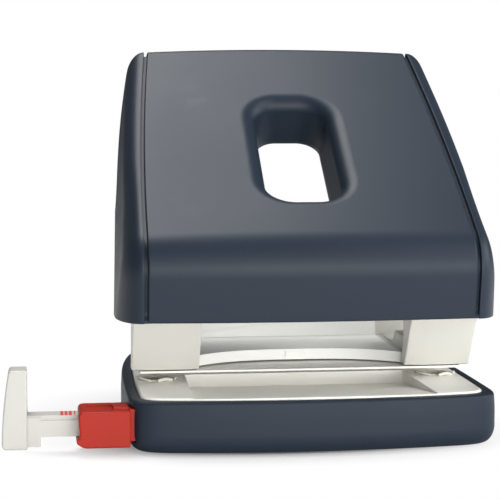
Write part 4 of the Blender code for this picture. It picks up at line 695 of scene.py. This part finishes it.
def ringX(xLow, xHigh, y, z, outer, inner, sides=40, edge=0.25):
    # A short tube along X: a closed section of (x, radius) points, spun about the hinge line.
    section = np.array([(xLow, inner), (xLow, outer - edge), (xLow + edge, outer), (xHigh - edge, outer),
                        (xHigh, outer - edge), (xHigh, inner)])
    t = np.linspace(0, 2 * np.pi, sides, endpoint=False)
    verts = np.stack([np.repeat(section[:, 0][:, None], sides, 1), y + section[:, 1][:, None] * np.cos(t),
                      z + section[:, 1][:, None] * np.sin(t)], axis=-1)
    return verts.reshape(-1, 3) * mm, gridFaces(len(section), sides, True, True)


buildTub()
for side, label in ((-1, "Left"), (1, "Right")):
    for k, span in enumerate(((15.9, 19.7), (28.3, 32.1))):
        low, high = sorted((side * span[0], side * span[1]))
        verts, faces = ringX(low, high, 47.0, 13.6, 2.2, 1.3)
        addPiece(f"hingeKnuckle{label}{k}", verts, faces, "tub", "tray")
print("chip tray made")


coil = {"x": 40.0, "y": -12.0, "low": 26.4, "high": 38.0, "radius": 4.0, "wire": 0.4, "curls": 6, "endPitch": 1.4}


def buildSpring(sign, label):
    # A helix whose end curls lie closer than the free ones.
    k = np.linspace(0, 1, coil["curls"] * 40 + 1)
    end = 1.0 / coil["curls"]
    free = coil["high"] - coil["low"] - 2 * coil["endPitch"]
    z = np.interp(k, [0, end, 1 - end, 1], [0, coil["endPitch"], coil["endPitch"] + free, coil["high"] - coil["low"]])
    t = 2 * np.pi * coil["curls"] * k
    path = np.column_stack([sign * coil["x"] + coil["radius"] * np.cos(t), coil["y"] + coil["radius"] * np.sin(t), coil["low"] + z])
    verts, faces = tubeAlong(path, coil["wire"], 12)
    piece = addPiece("returnSpring" + label, verts * mm, faces, "spring", "chassis", [f"return_spring_{label.lower()}"])
    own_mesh(piece)


buildSpring(-1, "Left")
buildSpring(1, "Right")
print("springs made")


carried = [
    ("base_plate", "plate", "chassis", 0.12), ("paper_stop", "plate", "chassis", 0.12),
    ("stripper_plate", "plate", "chassis", 0.12), ("punch_frame", "ivory", "chassis", 0.0),
    ("lever_axle", "steel", "chassis", 0.25), ("die_left", "die", "chassis", 0.0),
    ("die_right", "die", "chassis", 0.0), ("frame_screw_front_left", "zinc", "chassis", 0.2),
    ("frame_screw_front_right", "zinc", "chassis", 0.2), ("frame_screw_rear_left", "zinc", "chassis", 0.2),
    ("frame_screw_rear_right", "zinc", "chassis", 0.2), ("axle_clip_left", "spring", "chassis", 0.1),
    ("axle_clip_right", "spring", "chassis", 0.1), ("lever_bracket", "pressed", "lever", 0.2),
    ("press_bar", "steel", "lever", 0.3), ("cover_screw_left", "zinc", "lever", 0.2),
    ("cover_screw_right", "zinc", "lever", 0.2), ("punch_pin_left", "steel", "pin_left", 0.0),
    ("punch_pin_right", "steel", "pin_right", 0.0), ("grip_mat", "mat", "tray", 0.2),
    ("tray_hinge_pin_left", "steel", "tray", 0.2), ("tray_hinge_pin_right", "steel", "tray", 0.2),
]
copies = {node: smoothCopy(node, look, body, bevel) for node, look, body, bevel in carried}


for side in (-1, 1):
    # The foot of each cheek stays behind the cheek's own leaning front face.
    wedge = [(-20.15, 17.5), (-28.03, 30.0), (-40.0, 30.0), (-40.0, 17.5)]
    cutPrism(copies["punch_frame"], wedge, *sorted((side * 28.0, side * 49.0)))
copies["punch_frame"].modifiers.new("faceNormals", "WEIGHTED_NORMAL").keep_sharp = True

crimp = {"radius": 5.5, "z": 14.85, "rise": 0.45, "arcs": ((150, 248, 0.34), (268, 312, 0.48), (326, 350, 0.30))}


def buildCrimp(sign, name, start, end, wire):
    # A curl of metal pressed over beside a die: an arc about the die, highest at its middle.
    t = np.radians(np.linspace(start, end, 40))
    lift = crimp["z"] + crimp["rise"] * np.sin(np.linspace(0, np.pi, 40))
    path = np.column_stack([sign * 40.0 + crimp["radius"] * np.cos(t), -12.0 + crimp["radius"] * np.sin(t), lift])
    verts, faces = tubeAlong(path, wire, 12)
    return addPiece(name, verts * mm, faces, "die", "chassis")


for sign, label in ((-1, "Left"), (1, "Right")):
    for k, (start, end, wire) in enumerate(crimp["arcs"]):
        buildCrimp(sign, f"dieCrimp{label}{k}", start, end, wire)
print("carried pieces made")


sleeve = {"left": -63.0, "right": -49.4, "front": -47.0, "rear": -33.0, "low": 2.4, "high": 12.0, "edge": 0.45}


def roundedCorner(before, corner, after, reach, steps=8):
    # A quadratic curve that leaves the corner out by its reach along both sides.
    a = (before - corner) / np.linalg.norm(before - corner)
    b = (after - corner) / np.linalg.norm(after - corner)
    t = np.linspace(0, 1, steps)[:, None]
    p, q = corner + a * reach, corner + b * reach
    return (1 - t) ** 2 * p + 2 * t * (1 - t) * corner + t ** 2 * q


def roundedBlock(corners, reaches, low, high, edge):
    # A rounded (x, z) outline swept along Y. Its ends are quarter rounds: the corners move in along their mitres
    # and each reach shrinks with them, so the outline never crosses itself.
    corners, reaches = np.array(corners, float), np.array(reaches, float)
    x, z = corners.T
    if np.sum(x * np.roll(z, -1) - np.roll(x, -1) * z) < 0:
        corners, reaches = corners[::-1], reaches[::-1]
    ahead = np.roll(corners, -1, axis=0) - corners
    ahead /= np.linalg.norm(ahead, axis=1)[:, None]
    inward = np.stack([-ahead[:, 1], ahead[:, 0]], axis=1)
    behind = np.roll(inward, 1, axis=0)
    mitre = (inward + behind) / (1 + np.sum(inward * behind, axis=1))[:, None]
    turn = np.roll(ahead, 1, axis=0)
    convex = np.sign(turn[:, 0] * ahead[:, 1] - turn[:, 1] * ahead[:, 0])
    q = np.linspace(0, np.pi / 2, 6)
    ends = [(edge * (1 - math.sin(a)), edge * (1 - math.cos(a))) for a in q]
    rows = [(out, low + deep) for out, deep in ends] + [(out, high - deep) for out, deep in ends[::-1]]
    grid = []
    for out, y in rows:
        moved = corners + mitre * out
        size = np.maximum(reaches - convex * out * 0.9, 0.03)
        ring = np.concatenate([roundedCorner(moved[k - 1], moved[k], moved[(k + 1) % len(moved)], size[k])
                               for k in range(len(moved))])
        grid.append(np.column_stack([ring[:, 0], np.full(len(ring), y), ring[:, 1]]))
    n, m = len(grid), len(grid[0])
    faces = [list(f) for f in gridFaces(n, m, False, True)]
    faces += [list(range(m)), list(range((n - 1) * m, n * m))]
    return np.concatenate(grid), faces


def buildSleeve():
    # The red block: its left end draws in below the top edge and flares into a foot.
    left, right, low, high = sleeve["left"], sleeve["right"], sleeve["low"], sleeve["high"]
    corners = [(left, high), (left + 0.5, low + 2.7), (left - 0.5, low + 2.3), (left - 0.35, low + 1.2), (left + 1.5, low),
               (right, low), (right, high)]
    verts, faces = roundedBlock(corners, [1.7, 0.45, 0.12, 0.5, 0.9, 0.3, 0.5], sleeve["front"], sleeve["rear"],
                                sleeve["edge"])
    piece = addPiece("redSleeve", verts * mm, faces, "red", "tray", ["guide_sleeve"], 50)
    cutBox(piece, (-66.0, -43.2, 4.7), (-44.0, -36.3, 10.9))
    cutBox(piece, (-60.9, -44.0, 11.6), (-53.8, -36.5, 13.0))
    piece.data.set_sharp_from_angle(angle=math.radians(40))
    piece.modifiers.new("faceNormals", "WEIGHTED_NORMAL").keep_sharp = True
    verts, faces = roundedBlock([(-49.7, 3.5), (-49.7, 12.1), (-44.9, 12.1), (-44.9, 3.5)], [0.3] * 4, -44.4, -35.1, 0.3)
    neck = addPiece("sleeveNeck", verts * mm, faces, "red", "tray")
    cutBox(neck, (-66.0, -43.2, 4.7), (-44.0, -36.3, 10.9))
    neck.data.set_sharp_from_angle(angle=math.radians(40))
    neck.modifiers.new("faceNormals", "WEIGHTED_NORMAL").keep_sharp = True
    pad = [(-53.8, 11.5), (-53.8, 12.5), (-49.7, 12.5), (-49.7, 11.5)]
    verts, faces = roundedBlock(pad, [0.3] * 4, -43.6, -36.9, 0.2)
    return addPiece("clickPad", verts * mm, faces, "red", "tray")


def buildGuide():
    # The bar keeps its CAD form. The stop is a block whose outer side curves in towards the top.
    rise = np.array([0.0, 0.3, 0.6, 0.85, 1.0])
    outer = [(-76.1 - 6.70 + 2.0 * r ** 1.9, 1.8 + 20.9 * r) for r in rise]
    corners = outer + [(-76.1, 22.7), (-76.1, 1.8)]
    verts, faces = roundedBlock(corners, [1.5, 2.6, 2.4, 1.4, 0.9, 0.5, 0.3], -43.75, -35.75, 0.5)
    piece = addPiece("guideStop", verts * mm, faces, "guide", "guide")
    piece.modifiers.new("faceNormals", "WEIGHTED_NORMAL").keep_sharp = True
    bar = smoothCopy("paper_guide", "guide", "guide", 0.0)
    cutBox(bar, (-90.0, -50.0, 0.0), (-76.3, -30.0, 30.0))
    cutBox(bar, (-77.0, -50.0, 11.9), (-76.05, -30.0, 30.0))
    edge = bar.modifiers.new("edges", "BEVEL")
    edge.width, edge.segments, edge.limit_method, edge.angle_limit = 0.2 * mm, 2, "ANGLE", math.radians(38)
    bar.modifiers.new("faceNormals", "WEIGHTED_NORMAL").keep_sharp = True


buildSleeve()
buildGuide()
print("guide and sleeve made")


def buildStage():
    mesh = bpy.data.meshes.new("floor")
    size = 3.0
    mesh.from_pydata([(-size, -size, 0), (size, -size, 0), (size, size, 0), (-size, size, 0)], [], [(0, 1, 2, 3)])
    floor = bpy.data.objects.new("floor", mesh)
    scene.collection.objects.link(floor)
    paint = Paint("floorPaper")
    broad = paint.noise(3.0, 2.0)
    paint.set(Base_Color=paint.blend(broad, srgb(236, 236, 236), srgb(240, 240, 240)), Roughness=0.9)
    split = paint.node("SeparateXYZ", None, Vector=paint.object)
    far = ((split.socket("X") + 0.01) * (split.socket("X") + 0.01) + split.socket("Y") * split.socket("Y")) ** 0.5
    seen = paint.node("LightPath").socket("Is Camera Ray")
    white = paint.node("Emission", None, Color=(1, 1, 1, 1), Strength=1.0)
    mix = paint.tree.nodes.new("ShaderNodeMixShader")
    fade = ((far - 0.045) * 30.0).clamp() * seen
    paint.tree.links.new(fade.socket, mix.inputs[0])
    paint.tree.links.new(paint.shader.outputs[0], mix.inputs[1])
    paint.tree.links.new(white.first().socket, mix.inputs[2])
    paint.tree.links.new(mix.outputs[0], paint.tree.nodes["Material Output"].inputs[0])
    mesh.materials.append(paint.material)


def addLamp(name, place, target, size, power, high=None, colour=(1, 1, 1)):
    # A round lamp, or with a height of its own a strip.
    data = bpy.data.lights.new(name, "AREA")
    data.shape, data.size, data.energy, data.color = "DISK", size, power, colour
    if high is not None:
        data.shape, data.size_y = "RECTANGLE", high
    lamp = bpy.data.objects.new(name, data)
    lamp.location = place
    lamp.rotation_euler = (Vector(target) - Vector(place)).to_track_quat("-Z", "Y").to_euler()
    scene.collection.objects.link(lamp)


def buildWorld():
    world = bpy.data.worlds.new("studio")
    scene.world = world
    world.use_nodes = True
    tree = world.node_tree
    background = tree.nodes["Background"]
    path = tree.nodes.new("ShaderNodeLightPath")
    mix = tree.nodes.new("ShaderNodeMix")
    mix.inputs[2].default_value = 0.12
    mix.inputs[3].default_value = 1.0
    tree.links.new(path.outputs["Is Camera Ray"], mix.inputs[0])
    tree.links.new(mix.outputs[0], background.inputs["Strength"])
    background.inputs["Color"].default_value = (1, 1, 1, 1)


buildStage()
buildWorld()
addLamp("topLight", (-0.15, 0.28, 1.12), (0.0, 0.0, 0.05), 0.8, 13.0)
addLamp("frontLight", (0.75, -0.70, 0.65), (0.0, 0.0, 0.04), 0.9, 7.4)
addLamp("lowLight", (0.25, -0.95, 0.08), (0.0, 0.0, 0.03), 1.0, 5.8, 0.13)
addLamp("rightLight", (1.05, -0.10, 0.35), (0.0, 0.0, 0.05), 0.7, 5.4)
addLamp("nearLight", (-0.05, -0.55, 0.14), (0.0, 0.0, 0.02), 0.5, 0.8)

cameraData = bpy.data.cameras.new("camera")
cameraData.lens, cameraData.sensor_width = 115.2, 36.0
cameraData.clip_start = 0.01
camera = bpy.data.objects.new("camera", cameraData)
camera.location = (-0.0701, -0.4587, 0.0894)
camera.rotation_euler = (math.radians(85.1), 0.0, math.radians(-7.2))
scene.collection.objects.link(camera)
scene.camera = camera
scene.view_settings.view_transform = "Standard"
print("stage and camera made")
